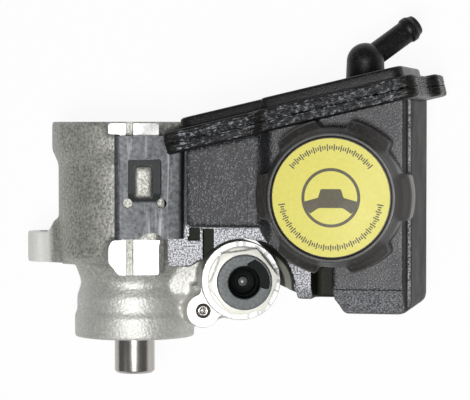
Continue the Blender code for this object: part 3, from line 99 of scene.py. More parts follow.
def node(tree, kind, settings=(), **links):
    """A node with settings, its inputs set to values or linked to sockets. i0, i1 are numbered inputs."""
    made = tree.nodes.new(kind if "Node" in kind else "ShaderNode" + kind)
    for key, value in dict(settings).items():
        setattr(made, key, value)
    for key, value in links.items():
        number = key[0] == "i" and key[1:].isdigit()
        socket = made.inputs[int(key[1:])] if number else made.inputs[key.replace("_", " ")]
        if isinstance(value, bpy.types.NodeSocket):
            tree.links.new(value, socket)
        else:
            socket.default_value = value
    return made


def math_node(tree, operation, *values, clamp=False):
    """Works on one value or two, or through several one after another."""
    result = values[0]
    for value in values[1:] or (0.0,):
        step = node(tree, "Math", {"operation": operation, "use_clamp": clamp}, i0=result, i1=value)
        result = step.outputs[0]
    return result


def times(tree, *values, clamp=False):
    return math_node(tree, "MULTIPLY", *values, clamp=clamp)


def most(tree, *values):
    return math_node(tree, "MAXIMUM", *values)


def white_to_the_eye(tree, lit, output, share):
    """Mixes plain white into lit for what the camera and reflections see, and leaves its light alone."""
    rays = node(tree, "LightPath").outputs
    seen = most(tree, rays["Is Camera Ray"], rays["Is Glossy Ray"], rays["Is Transmission Ray"])
    white = node(tree, "Emission", Strength=1.0).outputs[0]
    mixed = node(tree, "MixShader", i0=times(tree, seen, share), i1=lit, i2=white).outputs[0]
    tree.links.new(mixed, output.inputs["Surface"])


sheet = bpy.data.meshes.new("floor")
sheet.from_pydata([(x, y, floor_z) for x, y in ((-2, -2), (2, -2), (2, 2), (-2, 2))], [], [(0, 1, 2, 3)])
pale, tree, shader = new_material("pale_floor", base_color=(0.94, 0.94, 0.94, 1), roughness=0.9)
white_to_the_eye(tree, shader.outputs[0], tree.nodes["Material Output"], 0.93)
sheet.materials.append(pale)
in_scene(sheet, "floor")

world = bpy.data.worlds.new("studio")
scene.world = world
world.use_nodes = True
soft = world.node_tree.nodes["Background"]
soft.inputs["Color"].default_value = (1, 1, 1, 1)
soft.inputs["Strength"].default_value = 0.16


def lamp(name, place, size, watts):
    """A square soft lamp that faces the pump."""
    light = bpy.data.lights.new(name, "AREA")
    light.size = size
    light.energy = watts
    obj = in_scene(light, name)
    obj.location = place
    obj.rotation_euler = (Vector(place) - aim).to_track_quat("Z", "Y").to_euler()


lamp("key", (0.20, -0.06, 1.08), 0.22, 9.6)
lamp("side", (-0.7, -0.6, 0.75), 0.5, 0.6)


# Pump housing. A gravity casting in aluminium, with soft edges and a grainy skin. The pads above and below
# the barrel, the nose, the rear rim, the ear and the bosses are milled or turned afterwards, so they
# are bright and sharp, and the bores are turned. The body leans 18 degrees against the reservoir.

X, Y, Z = range(3)
LEAN = math.radians(18)
BORE, BARREL, RIM, REAR, NOSE_END = 0.02805, 0.03205, 0.0347, 0.0593, -0.0311
PAD_TOP, PAD_EDGE, RAIL_TOP, RAIL_IN = 0.0360, -0.0136, 0.0379, 0.0101
CLIP_FRONT, CLIP_REAR = 0.0117, 0.0536
VALVE, VALVE_FLOOR, VALVE_TOP = (0.0413, -0.0057, 0), -0.0300, 0.0360
LUG, LUG_TOP, STUD = (0.0263, -0.0186, 0), 0.0300, (0.0455, -0.0080)
EAR_X, EAR_R, EAR_HOLE, EAR_SEAT, SEAT_R = -0.0376, 0.0090, 0.00425, 0.0127, 0.0092
INLET, INLET_R, BOSS_R, STOCK, MERGE = (0, 0.0310, 0), 0.0140, 0.0165, 0.0006, 2e-6
TURN_BODY = Matrix.Rotation(LEAN, 4, "Y")
UNLEAN = Matrix.Rotation(-LEAN, 4, "Y")


def arc(x, y, radius, start, stop, steps):
    """Points on an arc, its angles in degrees."""
    turns = [math.radians(start + (stop - start) * i / steps) for i in range(steps + 1)]
    return [(x + radius * math.cos(turn), y + radius * math.sin(turn)) for turn in turns]


def filleted(corners, steps=6):
    """Outline through corners (a, b) or (a, b, fillet radius)."""
    outline = []
    for i, corner in enumerate(corners):
        here = Vector(corner[:2])
        if len(corner) == 2:
            outline.append(tuple(here))
            continue
        back_, ahead = [(Vector(corners[(i + s) % len(corners)][:2]) - here).normalized() for s in (-1, 1)]
        half = back_.angle(ahead) / 2
        centre = here + (back_ + ahead).normalized() * corner[2] / math.sin(half)
        first = here + back_ * corner[2] / math.tan(half) - centre
        sweep = first.angle_signed(here + ahead * corner[2] / math.tan(half) - centre)
        outline += [tuple(centre + Matrix.Rotation(-sweep * k / steps, 2) @ first) for k in range(steps + 1)]
    return outline


def mesh_of(bm, place=Matrix()):
    """The finished form as a mesh, laid in its place, with its faces pointing out."""
    bmesh.ops.remove_doubles(bm, verts=bm.verts, dist=MERGE)
    bmesh.ops.recalc_face_normals(bm, faces=bm.faces)
    bm.transform(place)
    mesh = bpy.data.meshes.new("form")
    bm.to_mesh(mesh)
    bm.free()
    return mesh


def laid(axis):
    """Turn that lays a form drawn along Z along another axis."""
    return {"Z": Matrix(), "Y": Matrix.Rotation(-math.pi / 2, 4, "X"),
        "X": Matrix.Rotation(math.pi / 2, 4, "Y")}[axis]


def spun(profile, axis="Z", steps=96, at=(0, 0, 0), place=Matrix()):
    """Form turned from a closed profile of (radius, height) points."""
    bm = bmesh.new()
    ring = [bm.verts.new((r, 0, h)) for r, h in profile]
    edges = [bm.edges.new((a, b)) for a, b in zip(ring, ring[1:] + ring[:1]) if max(a.co.x, b.co.x) > 1e-9]
    bmesh.ops.spin(bm, geom=ring + edges, cent=(0, 0, 0), axis=(0, 0, 1), angle=math.tau, steps=steps,
        use_merge=True)
    bmesh.ops.remove_doubles(bm, verts=bm.verts, dist=MERGE)
    bmesh.ops.dissolve_degenerate(bm, edges=bm.edges, dist=1e-6)
    return mesh_of(bm, place @ Matrix.Translation(at) @ laid(axis))


def lofted(sections, axis="Z", place=Matrix()):
    """Form through (outline, level) sections: (x, y) points along Z, (x, z) along Y, (y, z) along X."""
    bm = bmesh.new()
    lift = {
        "Z": lambda a, b, h: (a, b, h),
        "Y": lambda a, b, h: (a, h, b),
        "X": lambda a, b, h: (h, a, b)}[axis]
    rings = [[bm.verts.new(lift(a, b, level)) for a, b in outline] for outline, level in sections]
    for low, high in zip(rings, rings[1:]):
        for k in range(len(low)):
            n = (k + 1) % len(low)
            bm.faces.new((low[k], low[n], high[n], high[k]))
    bm.faces.new(rings[0][::-1])
    bm.faces.new(rings[-1])
    return mesh_of(bm, place)


def block(outline, low, high, axis="Z", place=Matrix()):
    return lofted([(outline, low), (outline, high)], axis, place)


def oblong(x, y, *radius):
    """Corners between two places in x and two in y, each with a fillet radius where one is given."""
    return [(a, b, *radius) for a, b in ((x[0], y[0]), (x[1], y[0]), (x[1], y[1]), (x[0], y[1]))]


def cuboid(x, y, z, place=Matrix()):
    return block(oblong(x, y), z[0], z[1], place=place)


def cylinder(radius, low, high, axis="Z", at=(0, 0, 0), steps=64, place=Matrix()):
    return spun([(0, low), (radius, low), (radius, high), (0, high)], axis, steps, at, place)


def together(meshes):
    """Several meshes as one."""
    bm = bmesh.new()
    for mesh in meshes:
        bm.from_mesh(mesh)
        bpy.data.meshes.remove(mesh)
    whole = bpy.data.meshes.new("form")
    bm.to_mesh(whole)
    bm.free()
    return whole


def settled(obj):
    """Keeps what the object's modifiers make as its mesh, and takes them off."""
    made = bpy.data.meshes.new_from_object(obj.evaluated_get(bpy.context.evaluated_depsgraph_get()))
    obj.modifiers.clear()
    obj.data = made
    return obj


def machined(obj, operation, tools, solver="MANIFOLD"):
    """Cuts, joins or trims an object by meshes, one after another."""
    for mesh in tools:
        tool = in_scene(mesh)
        step = obj.modifiers.new("cut", "BOOLEAN")
        step.operation, step.solver, step.object = operation, solver, tool
        settled(obj)
        bpy.data.objects.remove(tool)


def cut(obj, *tools):
    machined(obj, "DIFFERENCE", tools)


def joined(obj, *tools):
    machined(obj, "UNION", tools)


def taken(obj):
    """Takes an object out of the scene and gives its mesh."""
    mesh = obj.data
    bpy.data.objects.remove(obj)
    return mesh


def finished(piece, name, body, materials, replaces=(), angle=35, kinds=None):
    """Names, shades and dresses a finished mesh or object, and hangs it on its body. kinds has the number
    of each face's material."""
    obj = in_scene(piece) if isinstance(piece, bpy.types.Mesh) else piece
    obj.name = obj.data.name = name
    obj.data.materials.clear()
    for material in materials:
        obj.data.materials.append(finishes[material])
    obj.data.shade_smooth()
    obj.data.set_sharp_from_angle(angle=math.radians(angle))
    if kinds:
        obj.data.polygons.foreach_set("material_index", kinds)
    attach(obj, body)
    if replaces:
        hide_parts(*replaces)


barrel = spun(filleted([
    (0, NOSE_END - STOCK), (0.0253, NOSE_END - STOCK, 0.0012), (0.0253, NOSE_END + 0.0090, 0.0006),
    (0.0243, NOSE_END + 0.0110, 0.001), (0.0243, -0.0139, 0.0030), (0.0223, -0.0085, 0.0060),
    (0.0248, -0.0016, 0.002), (0.0262, 0.0004, 0.0015), (BARREL, 0.0004, 0.0045), (BARREL, 0.0416, 0.0060),
    (RIM, 0.0476, 0.005), (RIM, REAR + STOCK, 0.0018), (0, REAR + STOCK)]), "Y")
ear = in_scene(block([(-0.0165, 0.0200), (-0.0280, 0.0130)] + arc(EAR_X, 0, EAR_R, 90, 270, 24)
    + [(-0.0280, -0.0130), (-0.0165, -0.0200)], -STOCK, 0.0254, "Y", UNLEAN))
machined(ear, "INTERSECT",
    [block(filleted([
        (-0.0486, -STOCK), (-0.012, -STOCK), (-0.012, 0.0217), (-0.0322, 0.0182, 0.002),
        (-0.0351, 0.0131, 0.003), (-0.0486, 0.0131)]), -0.03, 0.03, place=UNLEAN)], "EXACT")


def pads(side):
    """Cast pads and rail on one side of the barrel, a little high where they are milled."""
    def flip(outline):
        return [(x, side * z) for x, z in outline]
    def lengthwise(near, far):
        return (near, far) if side > 0 else (CLIP_FRONT + CLIP_REAR - far, CLIP_FRONT + CLIP_REAR - near)
    pad = filleted([
        (PAD_EDGE, 0.0270), (PAD_EDGE, PAD_TOP + STOCK, 0.0016), (0.0072, PAD_TOP + STOCK, 0.0010),
        (RAIL_IN, PAD_TOP - 0.0036, 0.001), (RAIL_IN, 0.0270)], 4)
    rail = [
        (-0.0062, 0.0275), (-0.0082, 0.0336), (-0.0087, RAIL_TOP), (0.0070, RAIL_TOP),
        (0.0099, RAIL_TOP - 0.0050), (0.0099, 0.0275)]
    stop = [(0.0020, 0.0300), (0.0020, RAIL_TOP - 0.0002), (0.0100, RAIL_TOP - 0.0002), (0.0100, 0.0300)]
    front = in_scene(block(flip(pad), -0.0034, 0.0112, "Y"))
    heights = sorted((side * 0.020, side * 0.050))
    machined(front, "DIFFERENCE",
        [block([(-0.0146, -0.0044), (-0.0088, -0.0044), (-0.0106, -0.0014), (-0.0146, 0.0030)], *heights),
            block(filleted([(-0.0146, 0.0122), (-0.0111, 0.0122), (PAD_EDGE, 0.0077), (-0.0142, 0.0052)]),
                *heights)], "EXACT")
    rear_low = sorted((side * 0.0243, side * 0.050))
    rear = in_scene(block(flip(pad), CLIP_REAR - 0.0024, REAR - 0.0003, "Y"))
    machined(rear, "DIFFERENCE",
        [cuboid((-0.0146, -0.0072), (CLIP_REAR - 0.0034, CLIP_REAR + 0.0005), rear_low)], "EXACT")
    lock = block(filleted(oblong((-0.0025, 0.0044), lengthwise(0.0284, 0.0413), 0.001)),
        *sorted((side * 0.0290, side * 0.0415)))
    return [
        block(flip(rail), 0.0102, CLIP_REAR - 0.0014, "Y"),
        block(flip(stop), *lengthwise(0.0215, 0.0300), "Y"),
        lock,
        taken(front),
        taken(rear)]


web = in_scene(cuboid((0.010, VALVE[0]), (-0.0165, 0.0085), (-0.019, 0.019)))
web.modifiers.new("edge", "BEVEL").width = 0.004
valve_side = [
    spun(filleted([
        (0, -0.0339), (0.0155, -0.0339, 0.003), (BOSS_R, VALVE_TOP + STOCK, 0.0012), (0, VALVE_TOP + STOCK)]),
        at=VALVE),
    taken(settled(web)),
    spun(filleted([
        (0, -0.010), (0.0081, -0.010, 0.002), (0.0071, LUG_TOP + 0.0005, 0.0008), (0, LUG_TOP + 0.0005)]),
        at=LUG),
    block([
        (LUG[0], LUG[1] - 0.0057), (VALVE[0], VALVE[1] - 0.0149), VALVE[:2],
        (LUG[0] - 0.004, LUG[1] + 0.010)], -0.008, LUG_TOP - 0.004),
    spun(filleted([(0, -0.0256), (0.0064, -0.0256, 0.0008), (0.0074, VALVE[1], 0.001), (0, VALVE[1])]), "Y",
        at=(STUD[0], 0, STUD[1])),
    cylinder(INLET_R, BORE - 0.002, 0.0344, "X", INLET)]
casting = in_scene(together([barrel, taken(ear), *pads(1), *pads(-1), *valve_side]))
skin = casting.modifiers.new("skin", "REMESH")
skin.mode, skin.voxel_size = "VOXEL", 0.0008
soften = casting.modifiers.new("soften", "SMOOTH")
soften.factor, soften.iterations = 0.5, 6
settled(casting)

main_bore = spun([
    (0, NOSE_END - 0.002), (0.0215, NOSE_END - 0.002), (0.0215, NOSE_END), (0.0203, NOSE_END + 0.0006),
    (0.0203, -0.0289), (0.0215, -0.0289), (0.0215, -0.0270), (0.0203, -0.0270), (0.0203, -0.0147),
    (0.0153, -0.0147), (0.0153, -0.0071), (0.0103, -0.0071), (0.0103, 0.0087), (BORE, 0.0087), (BORE, 0.0193),
    (BORE + 0.0014, 0.0207), (BORE + 0.0014, 0.0275), (BORE, 0.0290), (BORE, 0.0547), (BORE + 0.0016, 0.0547),
    (BORE + 0.0016, 0.0575), (BORE, 0.0575), (BORE, REAR - 0.0006), (BORE + 0.0006, REAR),
    (BORE + 0.0006, REAR + 0.002), (0, REAR + 0.002)], "Y")
cutters = [main_bore,
    cuboid((-0.04, 0.036), (NOSE_END - 0.003, NOSE_END), (-0.04, 0.04)),
    cuboid((-0.04, 0.04), (REAR, REAR + 0.003), (-0.04, 0.04)),
    cuboid((-0.060, -0.0282), (-0.003, 0), (-0.02, 0.02), UNLEAN),
    block([(-0.0304, SEAT_R)] + arc(EAR_X, 0, SEAT_R, 90, 270, 32) + [(-0.0304, -SEAT_R)], EAR_SEAT, 0.027,
        "Y", UNLEAN),
    cylinder(EAR_HOLE, -0.002, 0.026, "Y", (EAR_X, 0, 0), 48, UNLEAN),
    cylinder(0.0190, VALVE_TOP, VALVE_TOP + 0.004, at=VALVE),
    cylinder(0.0090, VALVE_FLOOR, VALVE_TOP + 0.001, at=VALVE),
    cylinder(0.0114, VALVE_TOP - 0.0022, VALVE_TOP + 0.001, at=VALVE),
    cylinder(0.0095, LUG_TOP, LUG_TOP + 0.003, at=LUG, steps=48),
    cylinder(0.0031, LUG_TOP - 0.009, LUG_TOP + 0.001, at=LUG, steps=32),
    cuboid((0.036, 0.055), (-0.028, -0.0250), (-0.018, 0.002)),
    cylinder(0.0034, -0.026, -0.009, "Y", (STUD[0], 0, STUD[1]), 32),
    cuboid((0.0338, 0.037), (0.015, 0.047), (-0.016, 0.016)),
    cylinder(0.0093, BORE - 0.005, 0.036, "X", INLET),
    cylinder(0.0116, 0.0318, 0.036, "X", INLET)]
cleft = [
    (-0.0062, PAD_TOP + 0.002), (-0.0057, PAD_TOP - 0.0022), (-0.0031, PAD_TOP - 0.0022),
    (-0.0026, PAD_TOP + 0.002)]
for side in (-1, 1):
    milled_off = sorted((side * PAD_TOP, side * (PAD_TOP + 0.004)))
    for near, far in ((-0.006, 0.0110), (CLIP_REAR - 0.0016, REAR + 0.001)):
        cutters += [cuboid((-0.018, 0.013), (near, far), milled_off),
            block([(x, side * z) for x, z in cleft], near, far, "Y")]
cut(casting, *cutters)


def machined_faces(mesh, planes):
    """1 for each face that lies in a machined plane, and 0 for the others."""
    def on_plane(face, axis, level, reach):
        within = all(low - 1e-4 <= c <= high + 1e-4 for c, (low, high) in zip(face.center, reach))
        return within and all(abs(mesh.vertices[v].co[axis] - level) < 2e-5 for v in face.vertices)
    return [int(any(on_plane(face, *plane) for plane in planes)) for face in mesh.polygons]


everywhere = [(-1, 1)] * 3
planes = [
    (Y, NOSE_END, everywhere), (Y, REAR, everywhere), (Y, -0.0250, [(0.036, 0.06), (-1, 1), (-1, 1)]),
    (X, 0.0338, everywhere), (Z, LUG_TOP, everywhere), (Z, PAD_TOP, everywhere), (Z, -PAD_TOP, everywhere),
    (Z, VALVE_TOP, [(0.02, 0.06), (-0.03, 0.02), (0, 1)])]
kinds = machined_faces(casting.data, planes)
for face in casting.data.polygons:
    ends = [UNLEAN.inverted() @ casting.data.vertices[v].co for v in face.vertices]
    front = all(abs(end.y) < 2e-5 and end.x < -0.0275 for end in ends)
    if front or all(abs(end.y - EAR_SEAT) < 2e-5 and end.x < -0.02 for end in ends):
        kinds[face.index] = 1
casting.data.transform(TURN_BODY)


def plus(tree, *values):
    return math_node(tree, "ADD", *values)


def minus(tree, *values):
    return math_node(tree, "SUBTRACT", *values)


def ramp(tree, value, start, stop, low=0.0, high=1.0):
    """Goes from low to high while the value goes from start to stop, and stays level beyond."""
    return node(tree, "MapRange", Value=value, From_Min=start, From_Max=stop, To_Min=low,
        To_Max=high).outputs[0]


def object_place(tree):
    return node(tree, "TexCoord").outputs["Object"]


def place_xyz(tree):
    return node(tree, "SeparateXYZ", i0=object_place(tree)).outputs


def upward(tree):
    """How far a face looks up, from -1 to 1."""
    return node(tree, "SeparateXYZ", i0=node(tree, "NewGeometry").outputs["Normal"]).outputs[Z]


def noise(tree, place, scale, **settings):
    return node(tree, "TexNoise", Vector=place, Scale=scale, **settings).outputs[0]


def blend(tree, factor, one, two, mode="MIX"):
    """Colour mix of one and two, each a socket or an (r, g, b)."""
    made = tree.nodes.new("ShaderNodeMix")
    made.data_type, made.blend_type = "RGBA", mode
    for socket, value in ((made.inputs[0], factor), (made.inputs[6], one), (made.inputs[7], two)):
        if isinstance(value, bpy.types.NodeSocket):
            tree.links.new(value, socket)
        else:
            socket.default_value = value if isinstance(value, float) else (*value, 1)
    return made.outputs[2]


def group(name, inputs, *outputs):
    """An empty node group with named number sockets: the tree, what it is given and what it gives."""
    tree = bpy.data.node_groups.new(name, "ShaderNodeTree")
    for socket, value in inputs.items():
        tree.interface.new_socket(socket, in_out="INPUT", socket_type="NodeSocketFloat").default_value = value
    for socket in outputs:
        tree.interface.new_socket(socket, in_out="OUTPUT", socket_type="NodeSocketFloat")
    return tree, tree.nodes.new("NodeGroupInput").outputs, tree.nodes.new("NodeGroupOutput").inputs


def grain_group():
    """Grain in two sizes over broad patches: Tone multiplies a colour, Height is for a bump."""
    tree, given, gives = group("grain", {"Fine": 1400.0, "Broad": 60.0, "Contrast": 0.3}, "Tone", "Height",
        "Patch")
    place = object_place(tree)
    fine = noise(tree, place, given["Fine"], Detail=3.0, Roughness=0.6)
    broad = noise(tree, place, given["Broad"], Detail=4.0, Roughness=0.6)
    both = plus(tree, times(tree, fine, 0.8), times(tree, broad, 0.2))
    spread = times(tree, minus(tree, both, 0.5), given["Contrast"])
    tree.links.new(plus(tree, times(tree, spread, 4.0), 1.0), gives["Tone"])
    tree.links.new(fine, gives["Height"])
    tree.links.new(broad, gives["Patch"])
    return tree


def use(tree, shared, **inputs):
    """The outputs of a node group placed in a material with its own values."""
    made = tree.nodes.new("ShaderNodeGroup")
    made.node_tree = shared
    for key, value in inputs.items():
        made.inputs[key].default_value = value
    return made.outputs


GRAIN = grain_group()
finishes = {}
slot_of = {part["node"]: part["material_slot"] for part in frame["record"]["subparts"]}


def grained(name, colour, fine, contrast, depth, rough, patches, over, **plain):
    """A finish with grain in its colour, roughness and surface. Each function in over lays something on
    the colour. CAD nodes whose slot has the finish's name get it."""
    material, tree, shader = new_material(name, **plain)
    grain = use(tree, GRAIN, Fine=fine, Contrast=contrast)
    tone = node(tree, "CombineColor", Red=grain["Tone"], Green=grain["Tone"], Blue=grain["Tone"]).outputs[0]
    surface = blend(tree, 1.0, colour, tone, "MULTIPLY")
    for lay in over:
        surface = lay(tree, surface, grain)
    tree.links.new(surface, shader.inputs["Base Color"])
    tree.links.new(plus(tree, times(tree, grain["Patch"], patches), rough), shader.inputs["Roughness"])
    raised = node(tree, "Bump", Height=grain["Height"], Distance=depth, Strength=1.0)
    tree.links.new(raised.outputs[0], shader.inputs["Normal"])
    finishes[name] = material
    for obj in (obj for cad_name, obj in nodes.items() if slot_of[cad_name] == name):
        if not obj.data.materials:
            obj.data.materials.append(material)
        for place in obj.material_slots:
            place.link = "OBJECT"
            place.material = material
    return tree, shader


def metal(name, colour, rough, fine, contrast, depth, over=(), metallic=1.0):
    """Metal finish, rougher in patches."""
    grained(name, colour, fine, contrast, depth, rough * 0.75, rough * 0.5, over, metallic=metallic)


def flash_lit_nose_and_ear(tree, surface, grain):
    """Painted light from the flash: nose and ear painted paler than the barrel; the ear is less metallic."""
    place = place_xyz(tree)
    nose = ramp(tree, place[Y], 0.004, -0.012, high=0.42)
    on_ear = times(tree, ramp(tree, place[X], -0.0322, -0.0350, high=0.85),
        ramp(tree, place[Y], 0.030, 0.028))
    metallic = tree.nodes["Principled BSDF"].inputs["Metallic"]
    tree.links.new(minus(tree, 0.6, times(tree, on_ear, 0.5)), metallic)
    return blend(tree, most(tree, nose, on_ear), surface, (0.88, 0.88, 0.85))


metal("cast_aluminium", (0.37, 0.368, 0.338), 0.5, 950.0, 0.8, 0.00025, [flash_lit_nose_and_ear], 0.6)
metal("milled_aluminium", (0.90, 0.90, 0.89), 0.35, 1500.0, 0.3, 0.00001, metallic=0.2)
finished(casting, "housing_casting", "housing", ["cast_aluminium", "milled_aluminium"],
    ["pump_housing"], 40, kinds)


# Drive shaft. Ground steel, chamfered at the free end, which has a hole for the pulley tool's screw.
# Its rear part drives the rotor between the plates. The ball bearing in the nose carries it: two
# ground rings, seven balls in a plastic cage, and a snap ring in the nose's groove.

SHAFT, SHAFT_FRONT, CAM_FRONT, CAM_REAR = 0.0085, -0.0470, 0.0153, 0.0327
BEARING, BALL, BALL_PITCH, RACE_FRONT, RACE_REAR = 0.0200, 0.003197, 0.01425, -0.0270, -0.0150


def wear_group():
    """How worn an edge is, from 0 to 1: sharp outer edges, broken up by noise."""
    tree, given, gives = group("edge_wear", {"Width": 0.0004, "Breakup": 900.0, "Amount": 1.0}, "Wear")
    rounded = node(tree, "Bevel", {"samples": 4}, Radius=given["Width"]).outputs[0]
    normal = node(tree, "NewGeometry").outputs["Normal"]
    turn = node(tree, "VectorMath", {"operation": "DOT_PRODUCT"}, i0=rounded, i1=normal).outputs["Value"]
    away = times(tree, minus(tree, 1.0, turn), 5.0, clamp=True)
    broken = plus(tree, noise(tree, object_place(tree), given["Breakup"], Detail=2.0), 0.25)
    tree.links.new(times(tree, times(tree, away, given["Amount"]), broken, clamp=True), gives["Wear"])
    return tree


def scratch_group():
    """Thin scratches in two directions, from 0 to 1."""
    tree, given, gives = group("scratches", {"Density": 220.0, "Amount": 1.0}, "Scratch")
    marks = []
    for turn in (0.5, -0.9):
        laid_out = node(tree, "Mapping", Vector=object_place(tree), Rotation=(0, 0, turn),
            Scale=(1, 0.07, 0.5))
        lines = noise(tree, laid_out.outputs[0], given["Density"], Detail=4.0, Roughness=0.7, Distortion=0.3)
        marks.append(ramp(tree, lines, 0.60, 0.74))
    tree.links.new(times(tree, most(tree, *marks), given["Amount"], clamp=True), gives["Scratch"])
    return tree


WEAR, SCRATCHES = wear_group(), scratch_group()


def worn(colour, wear, scratch):
    """Lays worn edges and scratches of a colour over a metal, each as strong as its number."""
    def lay(tree, surface, grain):
        edges = use(tree, WEAR, Amount=wear)["Wear"]
        marks = use(tree, SCRATCHES, Amount=scratch)["Scratch"]
        return blend(tree, most(tree, edges, marks), surface, colour)
    return lay


metal("ground_steel", (0.42, 0.40, 0.38), 0.25, 2500.0, 0.10, 0.000004, [worn((0.8, 0.8, 0.78), 0.5, 0.2)])
finished(spun(filleted([
    (0, SHAFT_FRONT + 0.0200), (0.0042, SHAFT_FRONT + 0.0180, 0.0003), (0.0042, SHAFT_FRONT + 0.0010, 0.0002),
    (0.0052, SHAFT_FRONT, 0.0002), (0.0075, SHAFT_FRONT, 0.0003), (SHAFT, SHAFT_FRONT + 0.0010, 0.0004),
    (SHAFT, CAM_FRONT - 0.0010, 0.0002), (0.0075, CAM_FRONT, 0.0002), (0.0075, CAM_REAR + 0.0002, 0.0001),
    (0.0065, CAM_REAR + 0.0002), (0.0065, CAM_REAR + 0.0014), (0.0075, CAM_REAR + 0.0014, 0.0001),
    (0.0075, CAM_REAR + 0.0018, 0.0002), (0.0071, CAM_REAR + 0.0022, 0.0001), (0, CAM_REAR + 0.0022)], 3),
    "Y", 96), "shaft", "shaft", ["ground_steel"], ["drive_shaft"])
shoulder, groove = BALL * 0.41, BALL + 0.0003
half = math.degrees(math.acos(1 - shoulder / groove))
middle = (RACE_FRONT + RACE_REAR) / 2
inner, outer = BALL_PITCH - groove + shoulder, BALL_PITCH + groove - shoulder
finished(spun(filleted([
    (SHAFT + 0.0003, RACE_FRONT, 0.0004), (inner, RACE_FRONT, 0.0003),
    *arc(BALL_PITCH, middle, groove, 180 + half, 180 - half, 12), (inner, RACE_REAR, 0.0003),
    (SHAFT + 0.0003, RACE_REAR, 0.0004)], 3), "Y", 96), "race_inner", "shaft", ["ground_steel"],
    ["bearing_inner_ring"])
finished(spun(filleted([
    (BEARING, RACE_FRONT, 0.0006), (BEARING, RACE_REAR, 0.0006), (outer, RACE_REAR, 0.0003),
    *arc(BALL_PITCH, middle, groove, half, -half, 12), (outer, RACE_FRONT, 0.0003)], 3), "Y", 96),
    "race_outer", "housing", ["ground_steel"], ["bearing_outer_ring"])
for k in range(7):
    turn = math.tau * k / 7
    finished(spun([(max(r, 0), h) for r, h in arc(0, 0, BALL, -90, 90, 24)], steps=48,
        at=(BALL_PITCH * math.cos(turn), middle, BALL_PITCH * math.sin(turn)), place=TURN_BODY),
        "race_ball_%d" % (k + 1), "ball_cage", ["ground_steel"],
        ["bearing_ball_%d" % (k + 1)])


# End cover. A turned steel plug in the barrel's rear mouth, with a dished middle and its centre mark. A
# round wire ring snaps into the mouth's groove behind it; both its ends stop short of each other.

COVER_FRONT, COVER_REAR, PLUG_R = 0.0462, 0.0547, 0.02775
metal("hard_steel", (0.30, 0.30, 0.31), 0.35, 1200.0, 0.15, 0.00001, [worn((0.6, 0.6, 0.6), 0.6, 0.2)])
finished(spun(filleted([
    (0, COVER_FRONT + 0.0010), (0.0200, COVER_FRONT + 0.0010, 0.0005), (0.0205, COVER_FRONT, 0.0005),
    (PLUG_R, COVER_FRONT, 0.0004), (PLUG_R, COVER_FRONT + 0.0020, 0.0001),
    (PLUG_R - 0.0020, COVER_FRONT + 0.0020), (PLUG_R - 0.0020, COVER_FRONT + 0.0044),
    (PLUG_R, COVER_FRONT + 0.0044, 0.0001), (PLUG_R, COVER_REAR - 0.0008, 0.0004),
    (PLUG_R - 0.0008, COVER_REAR, 0.0004), (0.0111, COVER_REAR, 0.0005),
    (0.0100, COVER_REAR - 0.0012, 0.0006), (0.0008, COVER_REAR - 0.0012), (0, COVER_REAR - 0.0017)], 3), "Y",
    128), "rear_plug", "housing", ["hard_steel"], ["end_cover"])


def wire(path, radius, sides=16):
    """Round wire along a list of points, its ends rounded over and closed."""
    bm = bmesh.new()
    rings, side = [], None
    lengths = [(b - a).length for a, b in zip(path, path[1:])]
    total, done = sum(lengths), 0.0
    for i, point in enumerate(path):
        ahead = (path[min(i + 1, len(path) - 1)] - path[max(i - 1, 0)]).normalized()
        side = (side or ahead.orthogonal()).normalized()
        side = (side - ahead * side.dot(ahead)).normalized()
        other = ahead.cross(side)
        near = min(done, total - done, radius)
        reach = math.sqrt(max(radius ** 2 - (radius - near) ** 2, 0)) * 0.6 + radius * 0.4
        rings.append([bm.verts.new(point + (side * math.cos(a) + other * math.sin(a)) * reach)
            for a in (math.tau * k / sides for k in range(sides))])
        done += lengths[i] if i < len(lengths) else 0
    for low, high in zip(rings, rings[1:]):
        for k in range(sides):
            n = (k + 1) % sides
            bm.faces.new((low[k], low[n], high[n], high[k]))
    bm.faces.new(rings[0][::-1])
    bm.faces.new(rings[-1])
    return mesh_of(bm)


ring_r = BORE + 0.0016 - 0.0003 - 0.0011
finished(wire([TURN_BODY @ Vector((ring_r * math.cos(a), 0.0561, ring_r * math.sin(a)))
    for a in (math.radians(120 + 330 * k / 240) for k in range(241))], 0.0011), "mouth_ring", "housing",
    ["hard_steel"], ["end_cover_retaining_ring"])


# Retaining clips, one above and one below. Spring steel strip folded to a channel and phosphated dark
# grey. A tongue slit free on three sides latches over the housing's block; the slits end in round holes.

